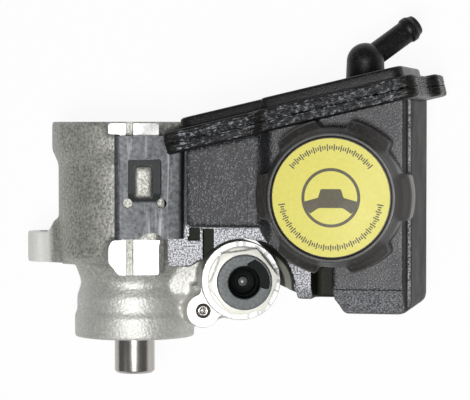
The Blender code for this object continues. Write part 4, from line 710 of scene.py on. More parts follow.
def clip(name, turned_over):
    """The upper clip, which is turned over for the lower one."""
    low, high, out, far = 0.0394, 0.0410, -0.0090, 0.0161
    foot = math.sqrt(RIM ** 2 - out ** 2) + 0.0006
    channel = filleted([
        (out, low, 0.0008), (out + 0.0005, foot), (out - 0.0011, foot), (out - 0.0022, high, 0.0026),
        (far + 0.0016, high, 0.0026), (far + 0.0011, foot), (far - 0.0005, foot), (far, low, 0.0008)], 8)
    x0, x1, y0, y1, slit = -0.0052, 0.0079, 0.0262, 0.0439, 0.0003
    body = in_scene(lofted([(channel, CLIP_FRONT), (channel, CLIP_REAR)], "Y"))
    cut(body,
        block(filleted([
            (x0 - slit, y0), (x1 + slit, y0), (x1 + slit, y1 + slit, 0.0012),
            (x0 - slit, y1 + slit, 0.0012)]), 0.0384, 0.0420),
        block(arc((x0 + x1) / 2 + 0.0028, CLIP_FRONT - 0.0042, 0.0066, 0, 180, 32), 0.0384, 0.0420))
    drop, bend = 0.0012, y0 + 0.0040
    side = filleted([
        (y0 - 0.0010, high), (y0 - 0.0010, low), (y0 + 0.0005, low, 0.003), (bend, low - drop, 0.003),
        (y1, low - drop, 0.0004), (y1, high - drop, 0.0006), (bend, high - drop, 0.003),
        (y0 + 0.0005, high, 0.003)], 5)
    joined(body, block(side, x0, x1, "X"))
    flat = [(bend, low - drop), (y1, low - drop), (y1, high - drop), (bend, high - drop)]
    joined(body, block(flat, x0, x1, "X"))
    cut(body,
        block(filleted(oblong((-0.0030, 0.0049), (0.0279, 0.0418), 0.0012)), 0.0360, 0.0420),
        *[cylinder(0.0020, 0.0360, 0.0420, at=(x, y0, 0), steps=40) for x in (x0 - 0.0004, x1 + 0.0004)])
    def on_tongue(spot):
        return x0 - 0.0001 < spot.x < x1 + 0.0001 and y0 - 0.0012 < spot.y < y1 + 0.0001 and \
            low - drop - 0.0002 < spot.z < high - 0.0001
    # The tongue's faces take a darker copy of the strip's finish: painted shade where it is bent down.
    kinds = [int(on_tongue(face.center)) for face in body.data.polygons]
    if turned_over:
        over = Matrix.Translation((0, CLIP_FRONT + CLIP_REAR, 0)) @ Matrix.Rotation(math.pi, 4, "X")
        body.data.transform(over)
    body.data.transform(TURN_BODY)
    finished(body, name + "_strip", "housing", ["phosphate_steel", "clip_tongue"], [name],
        40, kinds)


def shaded_folds(tree, surface, grain):
    """Painted shade: the phosphated strip is painted darker on its steep faces, where it is folded down."""
    flat = ramp(tree, math_node(tree, "ABSOLUTE", upward(tree)), 0.62, 0.90)
    return blend(tree, flat, (0.012, 0.013, 0.014), surface)


metal("phosphate_steel", (0.085, 0.089, 0.096), 0.5, 600.0, 1.0, 0.00003,
    [worn((0.38, 0.38, 0.39), 0.25, 0.9), shaded_folds], 0.3)
# The tongue's finish is the phosphated steel made darker: painted shade.
metal("clip_tongue", (0.016, 0.019, 0.021), 0.6, 700.0, 0.3, 0.00002, [worn((0.12, 0.12, 0.12), 0.3, 0.2)],
    0.2)
clip("retaining_clip_upper", False)
clip("retaining_clip_lower", True)


# Flow control valve. A ground steel spool slides in the valve bore, with a groove round its waist. A coil
# spring of hard wire, its ends closed, sits in the spool's hollow and pushes it against the fitting's stem.

SPOOL, SPOOL_FOOT, SPOOL_TOP, POCKET = 0.0087, 0.0040, 0.0240, 0.0160
COIL, WIRE, TURNS, PLAY, SPOOL_TRAVEL = 0.0047, 0.0008, 8, 0.0003, 0.008
finished(spun(filleted([
    (0.0060, SPOOL_FOOT, 0.0003), (SPOOL, SPOOL_FOOT, 0.0004), (SPOOL, SPOOL_FOOT + 0.0060, 0.0002),
    (SPOOL - 0.0018, SPOOL_FOOT + 0.0066, 0.0006), (SPOOL - 0.0018, SPOOL_FOOT + 0.0114, 0.0006),
    (SPOOL, SPOOL_FOOT + 0.0120, 0.0002), (SPOOL, SPOOL_TOP - 0.0030, 0.0003),
    (SPOOL - 0.0030, SPOOL_TOP - 0.0022, 0.0004), (SPOOL - 0.0030, SPOOL_TOP, 0.0004), (0, SPOOL_TOP),
    (0, POCKET), (0.0060, POCKET, 0.0008)], 4), steps=96, at=VALVE, place=TURN_BODY), "valve_spool", "spool",
    ["ground_steel"], ["control_valve_spool"])
low, high = VALVE_FLOOR + PLAY + WIRE, POCKET - PLAY - WIRE
closed = 2.2 * WIRE


def coil_point(turn):
    """Middle of the spring's wire at a turn. The first and last turns lie close to the next."""
    inside = min(max(turn - 1, 0), TURNS - 2) / (TURNS - 2)
    level = low + closed * (min(turn, 1) + max(turn - TURNS + 1, 0)) + (high - low - 2 * closed) * inside
    x, y = COIL * math.cos(math.tau * turn), COIL * math.sin(math.tau * turn)
    return TURN_BODY @ Vector((VALVE[0] + x, VALVE[1] + y, level))


coil = in_scene(wire([coil_point(k / 40) for k in range(TURNS * 40 + 1)], WIRE, 12))
finished(coil, "valve_spring", "housing", ["hard_steel"], ["flow_control_spring"])
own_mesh(coil)


# Outlet fitting. Plated steel, its hexagon chamfered by a cone, screwed into the valve boss. The grey plastic
# plug keeps dirt out of the port until the hose goes on; it has a hollow middle and a torn-out tab.

STEM, COLLAR_TOP, HEX_TOP, HEX_HALF = 0.0363, 0.0385, 0.0463, 0.0125
metal("plated_steel", (0.95, 0.94, 0.86), 0.34, 500.0, 0.06, 0.00001, [worn((0.70, 0.66, 0.56), 0.3, 0.1)],
    0.08)
hexagon = in_scene(block(arc(0, 0, HEX_HALF / math.cos(math.pi / 6), 8, 368, 6)[:-1], COLLAR_TOP - 0.0004,
    HEX_TOP))
edge = hexagon.modifiers.new("edge", "BEVEL")
edge.width, edge.segments = 0.0004, 3
settled(hexagon)
machined(hexagon, "INTERSECT",
    [spun(filleted([
        (0, 0.03), (0.017, 0.03), (0.017, HEX_TOP - 0.0024), (HEX_HALF - 0.0002, HEX_TOP + 0.0001, 0.0006),
        (0, HEX_TOP + 0.0001)]), steps=128)])
joined(hexagon,
    spun(filleted([
        (0, 0.0243), (0.0079, 0.0243, 0.0002), (0.0087, 0.0251, 0.0002), (0.0087, STEM),
        (0.0134, STEM, 0.0002), (0.0140, STEM + 0.0006, 0.0003), (0.0140, COLLAR_TOP - 0.0006, 0.0003),
        (0.0134, COLLAR_TOP, 0.0003), (0, COLLAR_TOP)]), steps=128))
cut(hexagon,
    spun(filleted([
        (0, 0.02), (0.0030, 0.02), (0.0030, 0.0341), (0.0084, 0.0371, 0.0006),
        (0.0084, HEX_TOP - 0.0006, 0.0002), (0.0090, HEX_TOP + 0.0001), (0.0090, 0.05), (0, 0.05)]),
        steps=96))
hexagon.data.transform(TURN_BODY @ Matrix.Translation(VALVE))
finished(hexagon, "hose_union", "housing", ["plated_steel"], ["outlet_fitting"])


def plastic(name, colour, speck_and_glint, rough, fine=1500.0, depth=0.0001, share=0.55, contrast=0.3, over=(),
        gloss=0.5, steep=None):
    """Grained plastic; its peaks are painted in the speck colour, which is grain tone and, where pale,
    painted glints. With steep, steep faces are less glossy.
    """
    def painted_glint(tree, surface, grain):
        return blend(tree, ramp(tree, grain["Height"], share, share + 0.22), surface, speck_and_glint)
    tree, shader = grained(name, colour, fine, contrast, depth, rough - 0.15, 0.3, [painted_glint, *over],
        specular_ior_level=gloss)
    if steep is not None:
        tree.links.new(ramp(tree, upward(tree), 0.2, 0.7, steep, gloss), shader.inputs["Specular IOR Level"])


plastic("grey_plug", (0.112, 0.125, 0.125), (0.21, 0.22, 0.22), 0.5, 900.0, 0.00003, contrast=0.5)
# The plug's hollow and torn tab are near black: painted shade.
plastic("plug_hollow", (0.005, 0.006, 0.006), (0.012, 0.012, 0.012), 0.5, 900.0, 0.00002, gloss=0.10)
plastic("pin_tip", (0.10, 0.10, 0.10), (0.2, 0.2, 0.2), 0.28, 900.0, 0.00001, gloss=1.0)
PLUG_TOP = HEX_TOP + 0.0023
plug = in_scene(spun(filleted([
    (0, 0.0385), (0.0073, 0.0385, 0.0005), (0.0081, 0.0397, 0.0005), (0.0081, HEX_TOP + 0.0003),
    (0.01125, HEX_TOP + 0.0003, 0.0002), (0.01125, PLUG_TOP - 0.0005, 0.0004), (0.01075, PLUG_TOP, 0.0004),
    (0.0070, PLUG_TOP, 0.0003), (0.0066, PLUG_TOP - 0.0006, 0.0003), (0.0062, 0.0440, 0.0008),
    (0.0052, 0.0434, 0.0004), (0.0048, 0.0412, 0.0005), (0.0024, 0.0401, 0.0004), (0.0020, 0.0420, 0.0010),
    (0, 0.0432)], 5), steps=96))
cut(plug,
    block(arc(0, 0, 0.0103, -14, 66, 20) + [(0.0012, 0.0078), (0.0010, 0.0068)]
        + arc(0, 0, 0.0055, 80, -16, 16) + [(0.0086, -0.0028)], PLUG_TOP - 0.0017, PLUG_TOP + 0.002))


def plug_kind(spot):
    """2 for the pin's end, 1 for the hollow and the torn tab, which are painted near black as shade, 0 for
    the rest.
    """
    if spot.xy.length < 0.0020 and spot.z > 0.0400:
        return 2
    return int(spot.xy.length < 0.0105 and 0.0398 < spot.z < PLUG_TOP - 0.0004)


kinds = [plug_kind(face.center) for face in plug.data.polygons]
plug.data.transform(TURN_BODY @ Matrix.Translation(VALVE))
finished(plug, "port_plug", "housing", ["grey_plug", "plug_hollow", "pin_tip"],
    ["shipping_plug"], kinds=kinds)
finished(spun(filleted([
    (0, LUG_TOP - 0.0080), (0.0028, LUG_TOP - 0.0080, 0.0004), (0.0028, LUG_TOP - 0.0006, 0.0005),
    (0.0019, LUG_TOP, 0.0003), (0.0014, LUG_TOP, 0.0003), (0.0010, LUG_TOP - 0.0009, 0.0002),
    (0, LUG_TOP - 0.0004)], 4), steps=48, at=LUG, place=TURN_BODY), "lug_pin", "housing", ["ground_steel"],
    ["passage_plug_pin"])


# Reservoir tub. One moulding in glass-filled nylon: a low part beside the pump and a high part under the
# filler neck, with a foot and an arch round the outlet fitting. Its walls have a spark-eroded grain.

WALL, LEFT_X, STEP_X, RIGHT_X = 0.0026, 0.0295, 0.0645, 0.1215
BOTTOM_Z, LEFT_TOP, RIGHT_TOP = -0.0250, 0.0330, 0.0400
LEFT_FRONT, CREASE, FRONT = 0.0167, -0.0073, -0.0179
ARCH, ARCH_R, APRON_TOP = (0.0550, -0.0084), 0.0194, 0.0260
NECK, NECK_R, SLANT, PARTING, SEAM = (0.0934, 0.0298, 0), 0.0220, math.radians(13), 0.03935, 0.04365
GROOVE_FLOOR, LINE_FLOOR = APRON_TOP - 0.0028, RIGHT_TOP - 0.0014
CLIP_FOOT = math.sqrt(RIM ** 2 - 0.0090 ** 2) + 0.0003
ON_PARTING = Matrix.Rotation(SLANT, 4, "Z")


def parting_y(x, level):
    return level / math.cos(SLANT) + x * math.tan(SLANT)


def along(x):
    return (x + PARTING * math.sin(SLANT)) / math.cos(SLANT)


def inset(outline, distance):
    """Outline moved inward, each corner along its own bisector. Corners run counterclockwise."""
    moved = []
    for i, point in enumerate(outline):
        before, here, after = (Vector(outline[(i + s) % len(outline)]) for s in (-1, 0, 1))
        one, two = (here - before).normalized(), (after - here).normalized()
        first = Vector((-one.y, one.x))
        both = first + Vector((-two.y, two.x))
        moved.append(tuple(here + both * distance / max(both.dot(first), 0.3)))
    return moved


def cushioned(outline, low, high, edges, axis="Z", place=Matrix(), steps=4):
    """Block with rounded rims of the given radii at its low and high end."""
    sections = []
    for level, edge, sign in ((low, edges[0], 1), (high, edges[1], -1)):
        rim = [(inset(outline, edge * (1 - math.sin(a))), level + sign * edge * (1 - math.cos(a)))
            for a in (math.pi / 2 * k / steps for k in range(steps + 1))] if edge else [(outline, level)]
        sections += rim if sign > 0 else rim[::-1]
    return lofted(sections, axis, place)


def tub_form(shell, rear):
    """Solid of the tub moved inward by shell, as one object."""
    arch_far = ARCH[0] + ARCH_R + 0.0017
    leg_y = CREASE - 0.0045
    left = [
        (LEFT_X, LEFT_FRONT, 0.003), (STEP_X + 0.004 + 2 * shell, LEFT_FRONT),
        (STEP_X + 0.004 + 2 * shell, parting_y(STEP_X, rear)), (LEFT_X, parting_y(LEFT_X, rear))]
    def high(step):
        outline = [
            (step, LEFT_FRONT - 0.002), *arc(*ARCH, ARCH_R + 0.0017, 62, 0, 6 if shell else 16),
            (arch_far, leg_y, 0.001), (RIGHT_X - 0.030, leg_y, 0.002), (RIGHT_X - 0.027, FRONT, 0.002),
            (RIGHT_X, FRONT, 0.005), (RIGHT_X, parting_y(RIGHT_X, rear)), (step, parting_y(step, rear))]
        if shell:
            outline = inset([c[:2] for c in outline], shell)
            outline[-2:] = [(x, parting_y(x, rear)) for x, y in outline[-2:]]
        return filleted(outline)
    if shell:
        left = inset([c[:2] for c in left], shell)
        left[2:] = [(x, parting_y(x, rear)) for x, y in left[2:]]
    form = in_scene(block(filleted(left), BOTTOM_Z + shell, LEFT_TOP - shell))
    joined(form,
        lofted([
            (high(STEP_X - 0.0040), BOTTOM_Z + shell), (high(STEP_X - 0.0040), LEFT_TOP - shell),
            (high(STEP_X + 0.0012), RIGHT_TOP - shell)]))
    slope = Vector((0.0100, FRONT - CREASE)).normalized() * shell
    cut(form,
        block([
            (CREASE + 0.010, RIGHT_TOP + 0.010), (CREASE + slope.x, RIGHT_TOP + slope.y),
            (FRONT + slope.x, RIGHT_TOP - 0.0100 + slope.y), (FRONT - 0.010, RIGHT_TOP - 0.0194),
            (FRONT - 0.010, RIGHT_TOP + 0.010)], STEP_X - 0.030, RIGHT_X + 0.010, "X"),
        cuboid(
            (arch_far + 0.0068 - shell, RIGHT_X - 0.0305 + shell), (FRONT - 0.010, 0.0020 + shell),
            (RIGHT_TOP - 0.0150 - shell, RIGHT_TOP + 0.010)),
        cuboid(
            (RIGHT_X - 0.0019 - shell, RIGHT_X + 0.010), (FRONT - 0.010, parting_y(RIGHT_X, rear) + 0.005),
            (RIGHT_TOP - 0.0110 - shell, RIGHT_TOP + 0.010)))
    return form


def pump_room():
    """Space that the reservoir leaves for the pump's body, clips and fitting."""
    rim_y, gap = REAR - 0.0177, 0.0010
    room = [
        spun([
            (0, NOSE_END), (BARREL + gap, NOSE_END), (BARREL + gap, rim_y - gap),
            (RIM + gap, rim_y + 0.0060 - gap), (RIM + gap, REAR + gap), (0, REAR + gap)], "Y", 96,
            place=TURN_BODY),
        cylinder(INLET_R + gap, 0.010, 0.0341, "X", INLET, place=TURN_BODY),
        cylinder(BOSS_R + gap, -0.0350, VALVE_TOP + 0.012, at=VALVE, place=TURN_BODY),
        cuboid((0.005, VALVE[0]), (-0.0175, 0.0095), (-0.020, 0.020), TURN_BODY)]
    for side in (-1, 1):
        room += [
            cuboid((-0.0139, 0.0105), (-0.0037, REAR + 0.0003), sorted((side * 0.02805, side * 0.0413)),
                TURN_BODY),
            cuboid((0.0153, 0.0187), (CLIP_FRONT - gap, CLIP_REAR + gap),
                sorted((side * CLIP_FOOT, side * 0.0420)), TURN_BODY),
            cuboid((0.0095, 0.0187), (CLIP_FRONT - gap, CLIP_REAR + gap),
                sorted((side * 0.0391, side * 0.0420)), TURN_BODY)]
    return room


def flange_outline():
    """Outline of the weld flange seen square to the parting plane, short of its edge by the flash."""
    top, low, left_, far = RIGHT_TOP + 0.0045, BOTTOM_Z - 0.0045, LEFT_X - 0.0063, RIGHT_X + 0.0085
    return inset(filleted([
        (along(LEFT_X - 0.0008), low, 0.004), (along(far), low, 0.004), (along(far), low + 0.0240, 0.003),
        (along(RIGHT_X + 0.0045), low + 0.0270, 0.003), (along(RIGHT_X + 0.0045), top, 0.005),
        (along(STEP_X - 0.001), top, 0.002), (along(STEP_X - 0.006), LEFT_TOP + 0.007, 0.002),
        (along(left_), LEFT_TOP + 0.007, 0.0022), (along(left_), LEFT_TOP + 0.0022, 0.001),
        (along(LEFT_X - 0.0008), LEFT_TOP + 0.0015)], 6), 0.0003)


foot_x, far = LEFT_X - 0.0096, ARCH[0] + ARCH_R


def painted_glints_and_shade(tree, surface, grain):
    """Painted light and shade: upward faces of the foot, the arch, the leg, the front and the right wall's
    bead get pale painted glints on their coarser grain. Other steep faces are painted dark as shade, but for
    the slanted wall in the arch, which is painted paler as lit."""
    place, up = place_xyz(tree), upward(tree)
    def within(axis, start, stop, high=1.0):
        return ramp(tree, place[axis], start, stop, high=high)
    low = times(tree,
        within(Z, 0.0285, 0.0270),
        within(Z, 0.0238, 0.0248),
        within(Y, 0.0174, 0.0166),
        within(X, 0.0800, 0.0790))
    ahead = most(tree, within(Y, -0.0060, -0.0085, 0.34), within(X, 0.1199, 0.1203, 0.6))
    leg = times(tree, within(X, 0.0850, 0.0835), within(Y, 0.0040, 0.0010, 0.75), within(Z, 0.0300, 0.0320))
    sparse = ramp(tree, grain["Height"], 0.42, 0.57, 0.12)
    wall = times(tree,
        within(Z, 0.0035, 0.0055),
        within(Z, 0.0135, 0.0118),
        ramp(tree, up, 0.20, 0.35),
        within(X, 0.0600, 0.0620),
        within(X, 0.0752, 0.0747),
        within(Y, 0.0050, 0.0000))
    steep_shade = blend(tree, ramp(tree, up, 0.45, 0.8, 0.1), (0.012, 0.013, 0.009), surface)
    lit_wall = blend(tree, wall, steep_shade, (0.45, 0.46, 0.40))
    lit = times(tree, most(tree, low, ahead, leg), ramp(tree, up, 0.45, 0.8), sparse)
    return blend(tree, lit, lit_wall, (0.80, 0.81, 0.86))


# The tub's pale specks are painted glints, and its over function paints light and shade by place.
plastic("tub_plastic", (0.010, 0.010, 0.012), (0.22, 0.225, 0.25), 0.42, 1500.0, 0.00016, 0.52, over=[painted_glints_and_shade],
    steep=0.03)
apron = block([(foot_x, -0.0001), (foot_x + 0.0092, -0.0002), (foot_x + 0.0151, 0.0030)]
    + arc(*ARCH, ARCH_R, 150, 14, 40)
    + [
        (far - 0.0016, ARCH[1] + 0.0004), (far, ARCH[1] - 0.0022), (far + 0.0036, CREASE - 0.0045),
        (far + 0.006, CREASE - 0.0045), (far + 0.006, LEFT_FRONT + 0.002), (foot_x, LEFT_FRONT + 0.002)],
    APRON_TOP - 0.006, APRON_TOP)
arch_wall = lofted([(arc(*ARCH, ARCH_R + 0.0030, -8, 100, 40) + arc(*ARCH, radius, 100, -8, 40), level)
    for radius, level in (
        (0.0020, BOTTOM_Z + 0.001), (0.0045, -0.010), (0.0085, 0.000), (0.0145, 0.012),
        (ARCH_R - 0.0002, 0.0212))])
tub = in_scene(together([taken(tub_form(0, PARTING + 0.001)), apron, arch_wall]))
skin = tub.modifiers.new("skin", "REMESH")
skin.mode, skin.voxel_size = "VOXEL", 0.00085
soften = tub.modifiers.new("soften", "SMOOTH")
soften.factor, soften.iterations = 0.5, 4
settled(tub)
cut(tub,
    cuboid(
        (foot_x + 0.0153, foot_x + 0.0201), (-0.006, LEFT_FRONT - 0.001), (GROOVE_FLOOR, APRON_TOP + 0.001)),
    cuboid(
        (foot_x + 0.0091, foot_x + 0.0143), (0.0106, LEFT_FRONT - 0.0006), (GROOVE_FLOOR, APRON_TOP + 0.001)),
    cuboid(
        (RIGHT_X - 0.0300, RIGHT_X - 0.0019), (CREASE - 0.0003, CREASE + 0.0001),
        (LINE_FLOOR, RIGHT_TOP + 0.001)),
    cuboid((0.0552, 0.0554), (LEFT_FRONT - 0.001, 0.0515), (LEFT_TOP - 0.00025, LEFT_TOP + 0.001)),
    spun([
        (ARCH_R - 0.004, APRON_TOP - 0.0017), (ARCH_R - 0.004, APRON_TOP + 0.001),
        (ARCH_R + 0.0017, APRON_TOP + 0.001), *arc(ARCH_R + 0.0017, APRON_TOP - 0.0017, 0.0017, 90, 180, 6)],
        at=(*ARCH, 0), steps=128))
joined(tub, cushioned(flange_outline(), PARTING, SEAM, (0.0012, 0.0004), "Y", ON_PARTING),
    spun(filleted([
        (0, 0.030), (NECK_R, 0.030), (NECK_R, RIGHT_TOP + 0.0094, 0.0006),
        (NECK_R - 0.0006, RIGHT_TOP + 0.0100, 0.0004), (0, RIGHT_TOP + 0.0100)]), steps=128, at=NECK))
reach = BARREL + 0.0010
web = in_scene(block(arc(0, 0, reach + 0.0035, -68, 68, 60) + arc(0, 0, reach - 0.002, 68, -68, 60),
    CLIP_FRONT + 0.0015, parting_y(LEFT_X, PARTING), "Y", TURN_BODY))
lip = [
    (0.0105, 0.02905), (0.0105, 0.0391), (0.0158, 0.0391), (0.0153, CLIP_FOOT), (0.0201, CLIP_FOOT),
    (0.0201, 0.02905)]
for side in (-1, 1):
    joined(web,
        block([(x, side * z) for x, z in lip], CLIP_FRONT + 0.0008, CLIP_REAR - 0.0010, "Y", TURN_BODY))
cut(web, block([(-0.05, -0.06), (0.15, -0.06), (0.15, 0.06), (-0.05, 0.06)], SEAM, 0.075, "Y", ON_PARTING))
joined(tub, taken(web))
cut(tub, *pump_room())
joined(tub, cylinder(0.0090, BORE + 0.0008, LEFT_X + 0.012, "X", INLET, place=TURN_BODY))
cut(tub,
    taken(tub_form(WALL, SEAM + 0.002)),
    cylinder(NECK_R - 0.0030, RIGHT_TOP - 0.0036, RIGHT_TOP + 0.011, at=NECK, steps=96),
    cylinder(0.0072, BORE - 0.001, LEFT_X + 0.016, "X", INLET, place=TURN_BODY))


def tub_kind(spot):
    """2 for the floors of the recess, the groove and the line, which take painted shade, 1 behind the parting
    plane, or 0.
    """
    recess = 0.0828 < spot.x < 0.0911 and spot.y < 0.0021 and 0.0240 < spot.z < 0.0260
    groove = spot.x < 0.0405 and spot.y < LEFT_FRONT and abs(spot.z - GROOVE_FLOOR) < 0.0001
    line = spot.x > 0.0900 and abs(spot.y - CREASE) < 0.0005 and abs(spot.z - LINE_FLOOR) < 0.0001
    return 2 if recess or groove or line else int((ON_PARTING.inverted() @ spot).y > PARTING - 0.0001)


kinds = [tub_kind(face.center) for face in tub.data.polygons]
# A duller, greener copy of the nylon without glints for those floors: painted shade.
plastic("slot_plastic", (0.020, 0.022, 0.015), (0.03, 0.03, 0.024), 0.6, 1500.0, 0.00005, gloss=0.12)
plastic("welded_plastic", (0.007, 0.007, 0.007), (0.05, 0.05, 0.05), 0.40, 1300.0, 0.00014, gloss=0.25,
    steep=0.4)
finished(tub, "tub", "housing", ["tub_plastic", "welded_plastic", "slot_plastic"],
    ["reservoir_tub"], 40, kinds)


# Reservoir cover. The same nylon, welded to the tub's flange by hot plate. The return nipple stands on a
# domed boss and leaves it at a slant.

LID_LOW, LID_RIM, LID_TOP = SEAM + 0.0003, SEAM + 0.0049, SEAM + 0.0094
NIPPLE, NIPPLE_R, NIPPLE_TURN, NIPPLE_DIP = (0.0989, 0.0020), 0.00775, math.radians(38.7), math.radians(25)


def wall_outline(step):
    corners = [
        (along(LEFT_X), BOTTOM_Z), (along(RIGHT_X), BOTTOM_Z), (along(RIGHT_X), RIGHT_TOP),
        (along(STEP_X), RIGHT_TOP), (along(STEP_X), LEFT_TOP), (along(LEFT_X), LEFT_TOP)]
    return filleted([(*c, r)
        for c, r in zip(inset(corners, step), (0.005, 0.005, 0.005, 0.003, 0.001, 0.005))])


lid = in_scene(cushioned(flange_outline(), LID_LOW, LID_RIM, (0.0004, 0.0012), "Y", ON_PARTING))
joined(lid, cushioned(wall_outline(0), LID_RIM - 0.002, LID_TOP, (0, 0.0012), "Y", ON_PARTING))
stand = parting_y(NIPPLE[0], LID_TOP)
dome = stand + 0.0069
nipple_place = Matrix.Translation((NIPPLE[0], dome, NIPPLE[1])) @ Matrix.Rotation(NIPPLE_TURN, 4, "Z")
nipple_place = nipple_place @ Matrix.Rotation(NIPPLE_DIP, 4, "Y")
joined(lid,
    spun(filleted([(0, stand - 0.0073), (NIPPLE_R + 0.0006, stand - 0.0073), (NIPPLE_R, dome)])
        + arc(0, dome, NIPPLE_R, 5, 90, 16), "Y", 96, (NIPPLE[0], 0, NIPPLE[1])),
    spun(filleted([
        (0, 0), (0.0048, 0), (0.0048, 0.0216, 0.002), (0.0054, 0.0226, 0.0004), (0.0054, 0.0246, 0.0004),
        (0.0046, 0.0261, 0.0006), (0.0042, 0.0276, 0.0003), (0, 0.0276)]), "X", 64, place=nipple_place))
cut(lid,
    *pump_room(),
    block(wall_outline(WALL), PARTING + 0.002, LID_TOP - WALL, "Y", ON_PARTING),
    cylinder(0.0032, 0, 0.0290, "X", steps=48, place=nipple_place),
    cylinder(0.0040, stand - 0.0113, dome + 0.001, "Y", (NIPPLE[0], 0, NIPPLE[1]), 48))
finished(lid, "lid", "housing", ["welded_plastic"], ["reservoir_cover"], 40)


# Weld flash. Where the hot plate melted the two flanges together the nylon squeezed out in thin ragged
# strings, which lie along the edge of both and hide the seam.

STRINGS = {"Strings": 9, "Spread": 0.0070, "Thickness": 0.00032, "Waver": 0.0012, "Points": 1300}


def applied(obj, tree, **inputs):
    """Runs a Geometry Nodes tree on an object with the named inputs, and keeps the result."""
    step = obj.modifiers.new("rule", "NODES")
    step.node_group = tree
    for item in tree.interface.items_tree:
        if item.in_out == "INPUT" and item.name in inputs:
            step[item.identifier] = inputs[item.name]
    return settled(obj)


def rule(name, material, **inputs):
    """An empty Geometry Nodes tree with named inputs; close() ends it."""
    tree = bpy.data.node_groups.new(name, "GeometryNodeTree")
    tree.interface.new_socket("Geometry", in_out="INPUT", socket_type="NodeSocketGeometry")
    for socket, value in inputs.items():
        kind = "NodeSocketInt" if isinstance(value, int) else "NodeSocketFloat"
        tree.interface.new_socket(socket, in_out="INPUT", socket_type=kind).default_value = value
    tree.interface.new_socket("Geometry", in_out="OUTPUT", socket_type="NodeSocketGeometry")
    start = tree.nodes.new("NodeGroupInput")
    def close(geometry):
        whole = node(tree, "GeometryNodeRealizeInstances", i0=geometry)
        dressed = node(tree, "GeometryNodeSetMaterial", i0=whole.outputs[0], Material=finishes[material])
        tree.links.new(dressed.outputs[0], tree.nodes.new("NodeGroupOutput").inputs[0])
        return tree
    return tree, start.outputs, close


def vector(tree, x=0.0, y=0.0, z=0.0):
    return node(tree, "CombineXYZ", i0=x, i1=y, i2=z).outputs[0]


def flash():
    """Strings along a path, side by side in Y: each wavers and swells by noise."""
    tree, given, close = rule("weld_flash", "torn_plastic", **STRINGS, Seed=3.0)
    path = node(tree, "GeometryNodeMeshToCurve", i0=given["Geometry"])
    even = node(tree, "GeometryNodeResampleCurve", Curve=path.outputs[0], Count=given["Points"])
    many = node(tree, "GeometryNodeDuplicateElements", {"domain": "SPLINE"}, Geometry=even.outputs[0],
        Amount=given["Strings"])
    number = many.outputs["Duplicate Index"]
    place = node(tree, "GeometryNodeInputPosition").outputs[0]
    apart = vector(tree, times(tree, number, 3.7), given["Seed"])
    spot = node(tree, "VectorMath", {"operation": "ADD"}, i0=place, i1=apart).outputs[0]
    waver = node(tree, "TexNoise", Vector=spot, Scale=210.0, Detail=3.0, Roughness=0.65)
    swell = node(tree, "TexNoise", Vector=spot, Scale=520.0, Detail=2.0)
    level = minus(tree, math_node(tree, "DIVIDE", number, minus(tree, given["Strings"], 1.0)), 0.5)
    aside = plus(tree, times(tree, level, given["Spread"]),
        times(tree, minus(tree, waver.outputs[0], 0.5), times(tree, given["Waver"], 2.5)))
    moved = node(tree, "GeometryNodeSetPosition", Geometry=many.outputs[0], Offset=vector(tree, y=aside))
    size = ramp(tree, swell.outputs[0], 0.36, 0.66, 0.35)
    sized = node(tree, "GeometryNodeSetCurveRadius", Curve=moved.outputs[0], Radius=size)
    round_ = node(tree, "GeometryNodeCurvePrimitiveCircle", Resolution=6, Radius=given["Thickness"])
    return close(node(tree, "GeometryNodeCurveToMesh", Curve=sized.outputs[0],
        Profile_Curve=round_.outputs[0], Fill_Caps=True).outputs[0])


def shaded_end(tree, surface, grain):
    """Painted shade: the strings are painted dark round the flange's two ends and at its step."""
    x = place_xyz(tree)[X]
    def within(start, stop):
        return ramp(tree, x, start, stop)
    step = times(tree, within(0.0590, 0.0602), within(0.0648, 0.0634))
    ends = most(tree, within(0.116, 0.121), within(0.0290, 0.0262))
    return blend(tree, most(tree, step, ends), surface, (0.012, 0.013, 0.010))


edge_path = inset(flange_outline(), 0.00005)[:-8]
path = bpy.data.meshes.new("path")
path.from_pydata([(a, (PARTING + LID_RIM) / 2, h) for a, h in edge_path],
    [(k, k + 1) for k in range(len(edge_path) - 1)], [])
# The strings' pale specks are painted glints.
plastic("torn_plastic", (0.034, 0.035, 0.038), (0.46, 0.47, 0.50), 0.32, 560.0, 0.0001, 0.50, 0.8,
    [shaded_end], 0.3)
strings = applied(in_scene(path), flash(), **STRINGS)
strings.data.transform(ON_PARTING)
finished(strings, "weld_flash", "housing", ["torn_plastic"], angle=60)


# Filler cap. Moulded in black plastic with six grip lobes round the skirt. A yellow disc lies in the plate,
# printed in dark brown: a plain wheel, and rows of ticks where the maker's words stand on a real one.

CAP_R, CAP_FOOT, SHOULDER, PLATE_TOP, LABEL_R = 0.0310, 0.0406, 0.0536, 0.0576, 0.0232
LOBES = {"Lobes": 6, "Depth": 0.0034}


